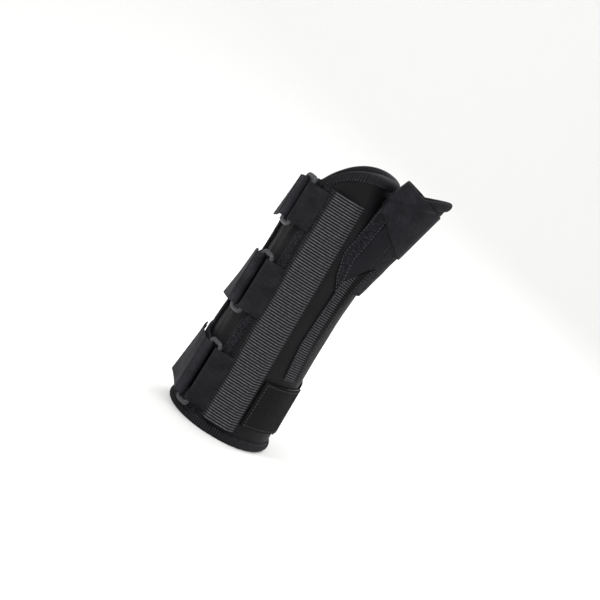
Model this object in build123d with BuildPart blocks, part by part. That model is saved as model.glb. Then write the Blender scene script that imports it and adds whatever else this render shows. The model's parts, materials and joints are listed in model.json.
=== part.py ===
from build123d import *
import os
from math import atan2, cos, degrees, pi, radians, sin, sqrt, tan

os.makedirs("parts", exist_ok=True)

# Left-hand wrist splint with a thumb sleeve, standing on its forearm rim.
# Origin: centre of the forearm opening, in the plane of the rim.
# +Z runs up the forearm to the fingers, -Y is the radial (thumb) side,
# -X is the back of the hand and +X is the palm side.

# ---- Arm and hand that the splint is shaped on -----------------------------
forearm_depth = 63.4        # palm to back, at the rim
forearm_width = 74.0        # radial to ulnar, at the rim
mid_forearm_depth = 63.2
mid_forearm_width = 72.0
upper_forearm_depth = 59.6
upper_forearm_width = 67.0
wrist_depth = 59.6
wrist_width = 66.0
thumb_root_depth = 62.0
thumb_root_width = 72.0
palm_depth = 52.0
palm_width = 80.0
knuckle_depth = 43.0
knuckle_width = 82.0

mid_forearm_height = 60.0
upper_forearm_rise = 40.0   # each rise is measured from the station below it
wrist_rise = 25.0
thumb_root_rise = 25.0
palm_rise = 28.0
knuckle_rise = 28.0
end_margin = 14.0           # forms run on this far past both rims, to be cut

radial_reach = 36.0         # axis to the arm's straight radial side
forearm_x = 0.8             # centre of each section, towards the palm
mid_forearm_x = -0.9
upper_forearm_x = 0.0
wrist_x = 1.0
thumb_root_x = 1.5
palm_x = -4.0
knuckle_x = -7.5
end_x_shift = -1.5          # past the hand rim the form leans on towards the back

# ---- Layers ----------------------------------------------------------------
liner_thickness = 2.4
shell_thickness = 2.4
tape_thickness = 0.8
webbing_thickness = 1.4
strap_thickness = 1.2
hook_thickness = 0.7
sleeve_thickness = 2.2
clearance = 0.3

# ---- Rims, opening and tapes -----------------------------------------------
rim_crown_radius = 41.0     # the hand rim is an arc in side view
rim_crown_x = 14.0          # centre of that arc
rim_crown_drop = 3.0        # crown below the last station
back_edge_drop = 28.0       # back-of-hand edge below the crown
binding_width = 6.5
opening_front_angle = 31.0  # from the radial side towards the back of the hand
opening_back_angle = 76.0
edge_tape_angle = 10.0
tongue_tuck_angle = 11.0

# ---- Stays and their pockets -----------------------------------------------
stay_width = 14.0
stay_thickness = 1.6
stay_length = 150.0
stay_start = 17.0
stay_side_gap = 0.5
pocket_backing = 0.9
pocket_width = 24.6
pocket_start = 9.0
pocket_top_gap = 23.0       # pocket mouth below the rim's crown
pocket_foot_x = 2.0
pocket_lean = 1.5           # degrees towards the back of the hand
stay_corner = 5.0
palmar_stay_width = 20.0
palmar_stay_thickness = 1.4
palmar_stay_start = 14.0
palmar_stay_foot_y = 4.0
palmar_stay_lean = 4.6
thumb_stay_width = 7.0
thumb_stay_thickness = 1.0
thumb_stay_depth = 1.5      # under the shell's face

# ---- Rings and straps ------------------------------------------------------
bar_diameter = 3.2
ring_width = 13.2
ring_corner = 2.2
ring_growth = 9.5           # ring plane outside the arm form
tab_thickness = 1.2
pull_lift = 6.8             # the free ends' form is shifted outwards over the rings
pull_growth = 7.6
strap_seam_angle = 178.0    # where the upper two straps are sewn to the shell

top_ring_length = 38.0
top_ring_drop = 41.5        # below the rim's crown
top_ring_x = -30.0
top_rise = -0.23            # a strap's climb for each mm it runs to the ulnar side
middle_ring_length = 46.0
middle_ring_height = 100.4
middle_ring_x = -27.6
middle_rise = -0.10
bottom_ring_length = 49.0
bottom_ring_height = 31.6
bottom_ring_x = -26.0
bottom_rise = 0.12
bottom_slant = 0.01         # the bottom strap also climbs to the palm side
bottom_strap_end_angle = 268.0
tab_reach = 18.0            # tab length from the ring's inner bar to its seam
pull_end_angle = 86.0
hook_tab_angle = 66.0

patch_width = 35.0
patch_height = 33.0
patch_pocket_gap = 0.6
patch_thickness = 2.2
patch_hinge_y = -2.0        # the patch peels off about an upright line here
patch_edge_gap = 1.5
band_foot_gap = 5.0         # bare shell between the patch and the foot of the thumb band

# ---- Thumb sleeve ----------------------------------------------------------
thumb_bore_root = 18.0
thumb_bore_web = 18.0
thumb_bore_middle = 15.2
thumb_bore_strap = 13.2
thumb_bore_tip = 12.0
thumb_tip_rise = 33.0       # sleeve tip station above the palm station
thumb_binding_width = 6.0
thumb_rim_slope = 20.0
thumb_rim_height = 205.5    # rim height on the sleeve's axis
thumb_band_width = 10.0
thumb_flap_seam = 3.0       # width of the seam that the thumb strap's end turns on
flap_hinge_gap = 1.8        # bare elastic on each side of the line that it turns on
flap_length = 16.5
thumb_strap_x = 26.4        # the strap's edges are set at this x
thumb_strap_low = 178.5
thumb_strap_slope = 42.0
thumb_strap_high = 209.0
thumb_strap_top_slope = 19.0

# ---- Derived sizes ---------------------------------------------------------
upper_forearm_height = mid_forearm_height + upper_forearm_rise
wrist_height = upper_forearm_height + wrist_rise
thumb_root_height = wrist_height + thumb_root_rise
palm_height = thumb_root_height + palm_rise
knuckle_height = palm_height + knuckle_rise
crown_height = knuckle_height - rim_crown_drop
shell_inner = liner_thickness
shell_outer = liner_thickness + shell_thickness
tape_outer = shell_outer + tape_thickness
strap_outer = shell_outer + strap_thickness
bar_radius = bar_diameter / 2
fold_inner = bar_radius + 0.05
fold_outer = fold_inner + strap_thickness
bar_offset = ring_width / 2 - bar_radius
patch_edge_y = patch_hinge_y - patch_edge_gap
patch_left_x = (pocket_foot_x + pocket_width / 2 + patch_pocket_gap
                - tan(radians(pocket_lean)) * (patch_height - patch_width / 2))
reach = 160.0               # half size of the cutting blocks

# height, centre in x, half depth, half width
arm_stations = [
    (-end_margin, forearm_x, forearm_depth / 2, forearm_width / 2),
    (0.0, forearm_x, forearm_depth / 2, forearm_width / 2),
    (mid_forearm_height, mid_forearm_x, mid_forearm_depth / 2, mid_forearm_width / 2),
    (upper_forearm_height, upper_forearm_x, upper_forearm_depth / 2, upper_forearm_width / 2),
    (wrist_height, wrist_x, wrist_depth / 2, wrist_width / 2),
    (thumb_root_height, thumb_root_x, thumb_root_depth / 2, thumb_root_width / 2),
    (palm_height, palm_x, palm_depth / 2, palm_width / 2),
    (knuckle_height, knuckle_x, knuckle_depth / 2, knuckle_width / 2),
    (knuckle_height + end_margin, knuckle_x + end_x_shift, knuckle_depth / 2, knuckle_width / 2),
]

# height, centre in x, centre in y, lean towards the palm in degrees, bore radius
thumb_stations = [
    (wrist_height + 2, 13.0, -13.0, 0.0, thumb_bore_root),
    (thumb_root_height, 21.5, -16.0, 8.0, thumb_bore_web),
    (palm_height - 8, 29.0, -20.0, 14.0, thumb_bore_middle),
    (palm_height + 12, 35.5, -24.0, 17.0, thumb_bore_strap),
    (palm_height + thumb_tip_rise, 41.3, -28.0, 18.0, thumb_bore_tip),
    (palm_height + thumb_tip_rise + end_margin, 45.8, -30.0, 18.0, thumb_bore_tip),
]

# x and height of the thumb band's centre line, from its foot to the thumb
thumb_band = [
    (28.4, patch_height + patch_width / 2 + band_foot_gap),
    (25.7, mid_forearm_height + 22),
    (26.2, wrist_height - 17),
    (27.3, wrist_height + 6),
    (36.0, thumb_root_height),
]
thumb_stay_head = (43.0, palm_height + 10)

# x and height of the corners of the two flat pieces at the thumb's root
gusset_outline = [
    (25.6, palm_height - 1),
    (36.0, palm_height - 1),
    (34.5, palm_height - 12),
    (30.0, thumb_root_height - 4),
    (23.2, wrist_height + 7),
    (24.4, thumb_root_height),
    (25.2, palm_height - 15),
]
trim_outline = [
    (18.0, palm_height + 2),
    (25.6, palm_height + 2),
    (25.2, palm_height - 15),
    (24.4, thumb_root_height),
    (23.2, wrist_height + 7),
    (22.6, wrist_height + 1),
    (12.3, thumb_root_height),
    (14.2, palm_height - 19),
    (15.5, palm_height - 6),
]


# ---- Forms and cutting shapes ----------------------------------------------
def arm_form(growth, lift=0.0):
    """Solid form of the arm, grown outwards, and moved to the radial side by lift."""
    with BuildPart() as form:
        for height, shift, half_depth, half_width in arm_stations:
            centre_y = half_width - radial_reach - lift
            with BuildSketch(Plane(origin=(shift, centre_y, height))):
                Ellipse(half_depth + growth, half_width + growth)
        loft(ruled=True)
    return form.part


def thumb_form(growth):
    """Solid form of the thumb from its root, grown outwards."""
    with BuildPart() as form:
        for height, centre_x, centre_y, lean, bore in thumb_stations:
            axis = Vector(tan(radians(lean)), -tan(radians(lean)) / 2, 1)
            level = Vector(cos(radians(lean)), 0, -sin(radians(lean)))
            plane = Plane(origin=(centre_x, centre_y, height), x_dir=level, z_dir=axis)
            with BuildSketch(plane):
                Circle(bore + growth)
        loft(ruled=True)
    return form.part


def body_form(growth):
    """Arm and thumb together, grown past the shell's face."""
    with BuildPart() as form:
        add(arm_form(shell_outer + growth))
        add(thumb_form(sleeve_thickness + growth))
    return form.part


def station_at(height):
    """Centre x, half depth and half width of the arm form at a height."""
    for low, high in zip(arm_stations, arm_stations[1:]):
        if low[0] <= height <= high[0]:
            share = (height - low[0]) / (high[0] - low[0])
            return [a + (b - a) * share for a, b in zip(low[1:], high[1:])]
    return arm_stations[-1][1:]


def radial_point(x, height, growth):
    """Point on the radial side of the grown arm form."""
    shift, half_depth, half_width = station_at(height)
    across = (x - shift) / (half_depth + growth)
    centre_y = half_width - radial_reach
    return Vector(x, centre_y - (half_width + growth) * sqrt(1 - across ** 2), height)


def radial_normal(x, height, growth):
    """Outward normal there, level with the rim."""
    shift, half_depth, half_width = station_at(height)
    point = radial_point(x, height, growth)
    centre_y = half_width - radial_reach
    along = (x - shift) / (half_depth + growth) ** 2
    out = (point.Y - centre_y) / (half_width + growth) ** 2
    return Vector(along, out, 0).normalized()


def sector(angle_from, angle_to):
    """Upright wedge between two angles from the radial side towards the back."""
    steps = max(2, int(abs(angle_to - angle_from) / 40) + 1)
    angles = [angle_from + (angle_to - angle_from) * i / steps for i in range(steps + 1)]
    points = [(-reach * sin(radians(a)), -reach * cos(radians(a))) for a in angles]
    with BuildPart() as wedge:
        with BuildSketch(Plane.XY.offset(-reach)):
            with BuildLine():
                Polyline((0, 0), *points, close=True)
            make_face()
        extrude(amount=3 * reach)
    return wedge.part


def slab(height, width, x, y, rise=0.0, slant=0.0):
    """Level block for a strap, centred on (x, y), climbing towards +Y and +X."""
    normal = Vector(-slant, -rise, 1)
    with BuildPart() as block:
        with BuildSketch(Plane(origin=(x, y, height), x_dir=(1, 0, slant), z_dir=normal)):
            Rectangle(2 * reach, 2 * reach)
        extrude(amount=width / 2, both=True)
    return block.part


def rim_cut(drop):
    """Everything below the hand rim lowered by drop, in side view."""
    radius = rim_crown_radius - drop
    centre_z = crown_height - rim_crown_radius
    back_z = crown_height - back_edge_drop - drop
    back_x = rim_crown_x - sqrt(radius ** 2 - (back_z - centre_z) ** 2)
    front_angle = radians(60)
    with BuildPart() as block:
        with BuildSketch(Plane.XZ):
            with BuildLine():
                start = (back_x, back_z)
                top = (rim_crown_x, centre_z + radius)
                end = (rim_crown_x + radius * sin(front_angle), centre_z + radius * cos(front_angle))
                over_back = (rim_crown_x - radius * sin(pi / 5), centre_z + radius * cos(pi / 5))
                over_front = (rim_crown_x + radius * sin(pi / 6), centre_z + radius * cos(pi / 6))
                ThreePointArc(start, over_back, top)
                ThreePointArc(top, over_front, end)
                Polyline(end, (reach, end[1]), (reach, -reach), (-reach, -reach), (-reach, back_z - 6), start)
            make_face()
        extrude(amount=reach, both=True)
    return block.part


def under_plane(x, y, height, slant=0.0, rise=0.0):
    """Everything below a sloping plane through a point."""
    plane = Plane(origin=(x, y, height), x_dir=(1, 0, slant), z_dir=(-slant, -rise, 1))
    with BuildPart() as block:
        with BuildSketch(plane):
            Rectangle(2 * reach, 2 * reach)
        extrude(amount=-3 * reach)
    return block.part


def floor_cut(height):
    """Everything above a height."""
    with BuildPart() as block:
        with BuildSketch(Plane.XY.offset(height)):
            Rectangle(2 * reach, 2 * reach)
        extrude(amount=3 * reach)
    return block.part


def near_prism(points, back=0.0):
    """Block on the radial side of back, with an outline drawn in side view."""
    with BuildPart() as block:
        with BuildSketch(Plane.XZ.offset(-back)):
            with BuildLine():
                Polyline(*points, close=True)
            make_face()
        extrude(amount=reach)
    return block.part


def leaning_box(plane, across, start, length, depth_low, depth_high, corner=0.0):
    """Box along a leaning plane: across x, along z, between two depths outwards."""
    with BuildPart() as block:
        with BuildSketch(plane.offset(depth_low)):
            with Locations((0, start + length / 2)):
                if corner > 0:
                    RectangleRounded(across, length, corner)
                else:
                    Rectangle(across, length)
        extrude(amount=depth_high - depth_low)
    return block.part


def leaning_free_side(plane, start):
    """Everything past a distance along a strap's plane."""
    with BuildPart() as block:
        with BuildSketch(plane):
            with Locations((start + reach / 2, 0)):
                Rectangle(reach, 2 * reach)
        extrude(amount=reach, both=True)
    return block.part


def band_outline(path, half_width):
    """Side-view outline of a band that follows a path of (x, height) points."""
    left = [(x - half_width, height) for x, height in path]
    right = [(x + half_width, height) for x, height in reversed(path)]
    return left + right


def largest(part):
    """The biggest solid of a part, without the far side that a cut also caught."""
    return part.solids().sort_by(SortBy.VOLUME)[-1]


def finish(builder, name):
    """Label a finished piece and write it."""
    builder.part.label = name
    export_step(builder.part, f"parts/{name}.step")


# ---- Soft body: liner, shell, tongue and tapes ------------------------------
thumb_passage = thumb_form(0.0)
arm_space = arm_form(0.0)
liner_face = arm_form(shell_inner)
shell_face = arm_form(shell_outer)
tape_face = arm_form(tape_outer)
strap_face = arm_form(strap_outer)
below_hand_rim = rim_cut(tape_thickness)
below_binding = rim_cut(binding_width)
above_floor_tape = floor_cut(tape_thickness)
above_binding = floor_cut(binding_width)
taped_opening = sector(opening_front_angle - edge_tape_angle, opening_back_angle + edge_tape_angle)
tongue_zone = sector(opening_front_angle - tongue_tuck_angle, opening_back_angle + tongue_tuck_angle)

# Palm-side stay plane: x runs across (towards +Y), y runs up, z points to the palm
palmar_plane = Plane(origin=(0, palmar_stay_foot_y, 0), x_dir=(0, 1, -tan(radians(palmar_stay_lean))),
                     z_dir=(1, 0, 0))
palmar_stay_length = palm_height - 5 - palmar_stay_start
with BuildPart() as palmar_stay:
    add(arm_form(shell_inner + palmar_stay_thickness))
    add(liner_face, mode=Mode.SUBTRACT)
    add(leaning_box(palmar_plane, palmar_stay_width, palmar_stay_start, palmar_stay_length, 0, reach,
                    palmar_stay_width / 2 - 0.5), mode=Mode.INTERSECT)
finish(palmar_stay, "palmar_stay")

# Thumb stay: a narrow strip inside the wall, from the forearm up to the thumb
with BuildPart() as thumb_stay:
    add(body_form(thumb_stay_thickness - thumb_stay_depth))
    add(body_form(-thumb_stay_depth), mode=Mode.SUBTRACT)
    add(near_prism(band_outline(thumb_band + [thumb_stay_head], thumb_stay_width / 2)), mode=Mode.INTERSECT)
    add(largest(thumb_stay.part), mode=Mode.REPLACE)
finish(thumb_stay, "thumb_stay")

with BuildPart() as inner_liner:
    add(liner_face)
    add(arm_space, mode=Mode.SUBTRACT)
    add(thumb_passage, mode=Mode.SUBTRACT)
    add(tongue_zone, mode=Mode.SUBTRACT)
    add(above_floor_tape, mode=Mode.INTERSECT)
    add(below_hand_rim, mode=Mode.INTERSECT)
finish(inner_liner, "inner_liner")

with BuildPart() as back_tongue:
    add(liner_face)
    add(arm_space, mode=Mode.SUBTRACT)
    add(tongue_zone, mode=Mode.INTERSECT)
    add(above_floor_tape, mode=Mode.INTERSECT)
    add(below_hand_rim, mode=Mode.INTERSECT)
finish(back_tongue, "back_tongue")

with BuildPart() as outer_shell:
    add(shell_face)
    add(liner_face, mode=Mode.SUBTRACT)
    add(thumb_passage, mode=Mode.SUBTRACT)
    add(taped_opening, mode=Mode.SUBTRACT)
    add(above_floor_tape, mode=Mode.INTERSECT)
    add(below_hand_rim, mode=Mode.INTERSECT)
    add(palmar_stay.part, mode=Mode.SUBTRACT)
    add(thumb_stay.part, mode=Mode.SUBTRACT)
finish(outer_shell, "outer_shell")

edge_tapes = {
    "front_edge_binding": sector(opening_front_angle - edge_tape_angle, opening_front_angle),
    "back_edge_binding": sector(opening_back_angle, opening_back_angle + edge_tape_angle),
}
for tape_name, tape_zone in edge_tapes.items():
    with BuildPart() as edge_tape:
        add(shell_face)
        add(liner_face, mode=Mode.SUBTRACT)
        add(tape_zone, mode=Mode.INTERSECT)
        add(above_floor_tape, mode=Mode.INTERSECT)
        add(below_hand_rim, mode=Mode.INTERSECT)
    finish(edge_tape, tape_name)

# U-shaped tapes folded over the two rims
with BuildPart() as proximal_core:
    add(shell_face)
    add(arm_space, mode=Mode.SUBTRACT)
    add(above_floor_tape, mode=Mode.INTERSECT)

with BuildPart() as proximal_binding:
    add(tape_face)
    add(arm_form(-tape_thickness), mode=Mode.SUBTRACT)
    add(floor_cut(0), mode=Mode.INTERSECT)
    add(above_binding, mode=Mode.SUBTRACT)
    add(proximal_core.part, mode=Mode.SUBTRACT)
finish(proximal_binding, "proximal_binding")

with BuildPart() as distal_core:
    add(shell_face)
    add(arm_space, mode=Mode.SUBTRACT)
    add(below_hand_rim, mode=Mode.INTERSECT)

with BuildPart() as distal_binding:
    add(tape_face)
    add(arm_form(-tape_thickness), mode=Mode.SUBTRACT)
    add(rim_cut(0), mode=Mode.INTERSECT)
    add(below_binding, mode=Mode.SUBTRACT)
    add(distal_core.part, mode=Mode.SUBTRACT)
    add(thumb_form(sleeve_thickness + strap_thickness + clearance), mode=Mode.SUBTRACT)
finish(distal_binding, "distal_binding")

# ---- Radial stay and its webbing pocket --------------------------------------
lean = radians(pocket_lean)
pocket_plane = Plane(origin=(pocket_foot_x, -radial_reach - shell_outer, 0),
                     x_dir=(cos(lean), 0, sin(lean)), z_dir=(0, -1, 0))
slot_depth = stay_thickness + 2 * clearance
pocket_depth = pocket_backing + slot_depth + webbing_thickness
pocket_top = crown_height - pocket_top_gap
pocket_block = leaning_box(pocket_plane, pocket_width, pocket_start, pocket_top - pocket_start, -reach / 4,
                           reach / 4)
with BuildPart() as radial_stay:
    add(leaning_box(pocket_plane, stay_width, stay_start, stay_length, pocket_backing + clearance,
                    pocket_backing + clearance + stay_thickness, stay_corner))
finish(radial_stay, "radial_stay")

with BuildPart() as radial_stay_pocket:
    add(arm_form(shell_outer + pocket_depth))
    add(shell_face, mode=Mode.SUBTRACT)
    add(pocket_block, mode=Mode.INTERSECT)
    add(leaning_box(pocket_plane, stay_width + 2 * stay_side_gap, stay_start - clearance, reach + stay_length,
                    pocket_backing, pocket_backing + slot_depth), mode=Mode.SUBTRACT)
finish(radial_stay_pocket, "radial_stay_pocket")

# ---- Rings, tabs and closing straps -----------------------------------------
lifted_inner = arm_form(pull_growth, pull_lift)
lifted_outer = arm_form(pull_growth + strap_thickness, pull_lift)
lifted_hook = arm_form(pull_growth - hook_thickness, pull_lift)
loop_inner = bar_radius + clearance
loop_outer = loop_inner + tab_thickness

# name, ring centre x, ring centre height, ring length, climb to the ulnar side, climb to the palm, seam angle
straps = [
    ("top", top_ring_x, crown_height - top_ring_drop, top_ring_length, top_rise, 0.0, strap_seam_angle),
    ("middle", middle_ring_x, middle_ring_height, middle_ring_length, middle_rise, 0.0, strap_seam_angle),
    ("bottom", bottom_ring_x, bottom_ring_height, bottom_ring_length, bottom_rise, bottom_slant,
     bottom_strap_end_angle),
]
for name, ring_x, height, ring_length, rise, slant, seam_angle in straps:
    centre = radial_point(ring_x, height, ring_growth)
    normal = radial_normal(ring_x, height, ring_growth)
    along = Vector(normal.Y, -normal.X, 0)
    # local x runs round the arm to the back, local y points outwards, local z is up
    strap_plane = Plane(origin=centre, x_dir=along, z_dir=(0, 0, 1))
    ring_plane = Plane(origin=centre, x_dir=along, z_dir=normal)
    straight_length = ring_length - bar_diameter - 2 * ring_corner
    strap_width = straight_length - 2 * clearance
    tab_width = strap_width - 1
    leg_start = centre + along * (bar_offset + fold_outer + clearance)
    start_angle = degrees(atan2(-leg_start.X, -leg_start.Y))
    strap_slab = slab(height, strap_width, centre.X, centre.Y, rise, slant)

    half_across = bar_offset
    half_up = ring_length / 2 - bar_radius
    with BuildPart() as strap_ring:
        with BuildLine(ring_plane) as ring_line:
            FilletPolyline((half_across, half_up), (half_across, -half_up), (-half_across, -half_up),
                           (-half_across, half_up), radius=ring_corner, close=True)
        with BuildSketch(Plane(origin=ring_line.line @ 0, z_dir=ring_line.line % 0)):
            Circle(bar_radius)
        sweep(path=ring_line.line)
    finish(strap_ring, f"{name}_ring")

    # The tab lies on the shell and turns round the ring's inner bar
    with BuildPart() as tab_strip:
        add(strap_face)
        add(shell_face, mode=Mode.SUBTRACT)
        with BuildSketch(strap_plane):
            with Locations((-bar_offset - tab_reach / 2, 0)):
                Rectangle(tab_reach, 4 * ring_growth)
        extrude(amount=tab_width / 2, both=True, mode=Mode.INTERSECT)
    with BuildPart() as ring_tab:
        with BuildSketch(strap_plane):
            with Locations((-bar_offset, 0)):
                Circle(loop_outer)
            with BuildLine():
                Polyline((-bar_offset - loop_outer, 0),
                         (-bar_offset - loop_outer - tab_thickness, -ring_growth),
                         (-bar_offset, -ring_growth), (-bar_offset, 0), close=True)
            make_face()
        extrude(amount=tab_width / 2, both=True)
        add(shell_face, mode=Mode.SUBTRACT)
        add(tab_strip.part)
        with BuildSketch(strap_plane):
            with Locations((-bar_offset, 0)):
                Circle(loop_inner)
        extrude(amount=ring_length, both=True, mode=Mode.SUBTRACT)
        add(pocket_block, mode=Mode.SUBTRACT)
        add(distal_binding.part, mode=Mode.SUBTRACT)
        add(largest(ring_tab.part), mode=Mode.REPLACE)
    finish(ring_tab, f"{name}_ring_tab")

    # The strap's turn round the outer bar
    with BuildPart() as strap_fold:
        with BuildSketch(strap_plane):
            with Locations((bar_offset, 0)):
                Circle(fold_outer)
                Circle(fold_inner, mode=Mode.SUBTRACT)
            with Locations((bar_offset + fold_outer / 2, 0)):
                Rectangle(fold_outer, 2 * fold_outer, mode=Mode.SUBTRACT)
        extrude(amount=strap_width / 2, both=True)
    finish(strap_fold, f"{name}_strap_fold")

    with BuildPart() as strap_leg:
        add(strap_face)
        add(shell_face, mode=Mode.SUBTRACT)
        add(strap_slab, mode=Mode.INTERSECT)
        add(sector(start_angle, seam_angle), mode=Mode.INTERSECT)
        add(distal_binding.part, mode=Mode.SUBTRACT)
        add(largest(strap_leg.part), mode=Mode.REPLACE)
    finish(strap_leg, f"{name}_strap")

    free_side = leaning_free_side(strap_plane, bar_offset + fold_outer + clearance)
    with BuildPart() as pull_end:
        add(lifted_outer)
        add(lifted_inner, mode=Mode.SUBTRACT)
        add(strap_slab, mode=Mode.INTERSECT)
        add(free_side, mode=Mode.INTERSECT)
        add(sector(0, pull_end_angle), mode=Mode.INTERSECT)
    finish(pull_end, f"{name}_pull_end")

    with BuildPart() as hook_tab:
        add(lifted_inner)
        add(lifted_hook, mode=Mode.SUBTRACT)
        add(slab(height, strap_width - 4, centre.X, centre.Y, rise, slant), mode=Mode.INTERSECT)
        add(sector(hook_tab_angle, pull_end_angle), mode=Mode.INTERSECT)
    finish(hook_tab, f"{name}_hook_tab")

# ---- Anchor patch that ends the bottom strap ---------------------------------
patch_inner = shell_outer + clearance
with BuildPart() as anchor_patch:
    add(arm_form(patch_inner + patch_thickness))
    add(arm_form(patch_inner), mode=Mode.SUBTRACT)
    with BuildSketch(Plane.XY.offset(patch_height - patch_width / 2)):
        with BuildLine():
            Polyline((patch_left_x, -reach), (patch_left_x, patch_edge_y), (reach, patch_edge_y),
                     (reach, -reach), close=True)
        make_face()
    extrude(amount=patch_width, mode=Mode.INTERSECT)
finish(anchor_patch, "anchor_patch")

# ---- Thumb sleeve, gusset and strap ------------------------------------------
sleeve_face = thumb_form(sleeve_thickness)
thumb_axis_x = thumb_stations[4][1]
rim_slant = tan(radians(thumb_rim_slope))
with BuildPart() as thumb_sleeve:
    add(sleeve_face)
    add(thumb_passage, mode=Mode.SUBTRACT)
    add(shell_face, mode=Mode.SUBTRACT)
    add(under_plane(thumb_axis_x, 0, thumb_rim_height - tape_thickness, rim_slant), mode=Mode.INTERSECT)
    add(thumb_stay.part, mode=Mode.SUBTRACT)
    add(largest(thumb_sleeve.part), mode=Mode.REPLACE)
finish(thumb_sleeve, "thumb_sleeve")

# The strap is an oblique band round the sleeve, wider on the side of the palm
strap_low = under_plane(thumb_strap_x, 0, thumb_strap_low, -tan(radians(thumb_strap_slope)))
strap_high = under_plane(thumb_strap_x, 0, thumb_strap_high, -tan(radians(thumb_strap_top_slope)))
hinge_foot = Vector(thumb_stations[3][1] + 1.5, thumb_stations[3][2], thumb_stations[3][0])
hinge_head = Vector(thumb_stations[4][1] + 1.5, thumb_stations[4][2], thumb_stations[4][0])
flap_axis_depth = sleeve_thickness + strap_thickness + clearance + hook_thickness + strap_thickness / 2
flap_hinge_foot = hinge_foot - Vector(0, thumb_bore_strap + flap_axis_depth, 0)
flap_hinge_head = hinge_head - Vector(0, thumb_bore_tip + flap_axis_depth, 0)
flap_lean = (flap_hinge_head.X - flap_hinge_foot.X) / (flap_hinge_head.Z - flap_hinge_foot.Z)


def beside_hinge(near_gap, far_gap):
    """Radial-side block between two gaps from the flap's hinge line, towards the back."""
    low, high = 0, 2 * reach
    low_x = flap_hinge_foot.X + flap_lean * (low - flap_hinge_foot.Z)
    high_x = flap_hinge_foot.X + flap_lean * (high - flap_hinge_foot.Z)
    return near_prism([(low_x - near_gap, low), (high_x - near_gap, high), (high_x - far_gap, high),
                       (low_x - far_gap, low)], thumb_stations[3][2])


flap_inner = flap_axis_depth - strap_thickness / 2
wrap_face = thumb_form(sleeve_thickness + strap_thickness)
flap_face = thumb_form(flap_inner + strap_thickness)
with BuildPart() as thumb_strap_seam:
    add(flap_face)
    add(wrap_face, mode=Mode.SUBTRACT)
    add(beside_hinge(-flap_hinge_gap - thumb_flap_seam, -flap_hinge_gap), mode=Mode.INTERSECT)
    add(strap_high, mode=Mode.INTERSECT)
    add(strap_low, mode=Mode.SUBTRACT)
    add(largest(thumb_strap_seam.part), mode=Mode.REPLACE)

with BuildPart() as thumb_strap:
    add(wrap_face)
    add(sleeve_face, mode=Mode.SUBTRACT)
    add(strap_high, mode=Mode.INTERSECT)
    add(strap_low, mode=Mode.SUBTRACT)
    add(arm_form(tape_outer), mode=Mode.SUBTRACT)
    add(largest(thumb_strap.part), mode=Mode.REPLACE)
    add(thumb_strap_seam.part)
finish(thumb_strap, "thumb_strap")

with BuildPart() as thumb_strap_end:
    add(flap_face)
    add(thumb_form(flap_inner), mode=Mode.SUBTRACT)
    add(beside_hinge(flap_hinge_gap, flap_length), mode=Mode.INTERSECT)
    add(strap_high, mode=Mode.INTERSECT)
    add(strap_low, mode=Mode.SUBTRACT)
    add(largest(thumb_strap_end.part), mode=Mode.REPLACE)
finish(thumb_strap_end, "thumb_strap_end")

with BuildPart() as thumb_hook_tab:
    add(thumb_form(flap_inner))
    add(thumb_form(flap_inner - hook_thickness), mode=Mode.SUBTRACT)
    add(beside_hinge(flap_length / 2, flap_length), mode=Mode.INTERSECT)
    add(strap_high, mode=Mode.INTERSECT)
    add(strap_low, mode=Mode.SUBTRACT)
    add(largest(thumb_hook_tab.part), mode=Mode.REPLACE)
finish(thumb_hook_tab, "thumb_hook_tab")

# Tape folded over the sleeve's rim, left off where the strap covers it
with BuildPart() as thumb_rim_core:
    add(sleeve_face)
    add(thumb_passage, mode=Mode.SUBTRACT)
    add(under_plane(thumb_axis_x, 0, thumb_rim_height - tape_thickness, rim_slant), mode=Mode.INTERSECT)

with BuildPart() as thumb_binding:
    add(thumb_form(sleeve_thickness + tape_thickness))
    add(thumb_form(-tape_thickness), mode=Mode.SUBTRACT)
    add(under_plane(thumb_axis_x, 0, thumb_rim_height, rim_slant), mode=Mode.INTERSECT)
    add(under_plane(thumb_axis_x, 0, thumb_rim_height - thumb_binding_width, rim_slant), mode=Mode.SUBTRACT)
    add(thumb_rim_core.part, mode=Mode.SUBTRACT)
    add(thumb_strap.part, mode=Mode.SUBTRACT)
    add(largest(thumb_binding.part), mode=Mode.REPLACE)
finish(thumb_binding, "thumb_binding")

# Pieces sewn flat on the thumb's root, over the arm and the sleeve alike
root_face = body_form(0)
root_tape = body_form(tape_thickness)
with BuildPart() as thumb_stay_pocket:
    add(body_form(webbing_thickness))
    add(root_face, mode=Mode.SUBTRACT)
    add(near_prism(band_outline(thumb_band, thumb_band_width / 2)), mode=Mode.INTERSECT)
    add(largest(thumb_stay_pocket.part), mode=Mode.REPLACE)
finish(thumb_stay_pocket, "thumb_stay_pocket")

for name, outline in {"thumb_gusset": gusset_outline, "gusset_trim": trim_outline}.items():
    with BuildPart() as root_piece:
        add(root_tape)
        add(root_face, mode=Mode.SUBTRACT)
        add(near_prism(outline), mode=Mode.INTERSECT)
        add(thumb_stay_pocket.part, mode=Mode.SUBTRACT)
        add(pocket_block, mode=Mode.SUBTRACT)
        add(distal_binding.part, mode=Mode.SUBTRACT)
        add(strap_low, mode=Mode.INTERSECT)
        add(largest(root_piece.part), mode=Mode.REPLACE)
    finish(root_piece, name)
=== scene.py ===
import json
from math import atan2, cos, pi, radians, sin, tan

import bpy
import numpy as np
from mathutils import Matrix, Vector
from mathutils.bvhtree import BVHTree


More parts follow.
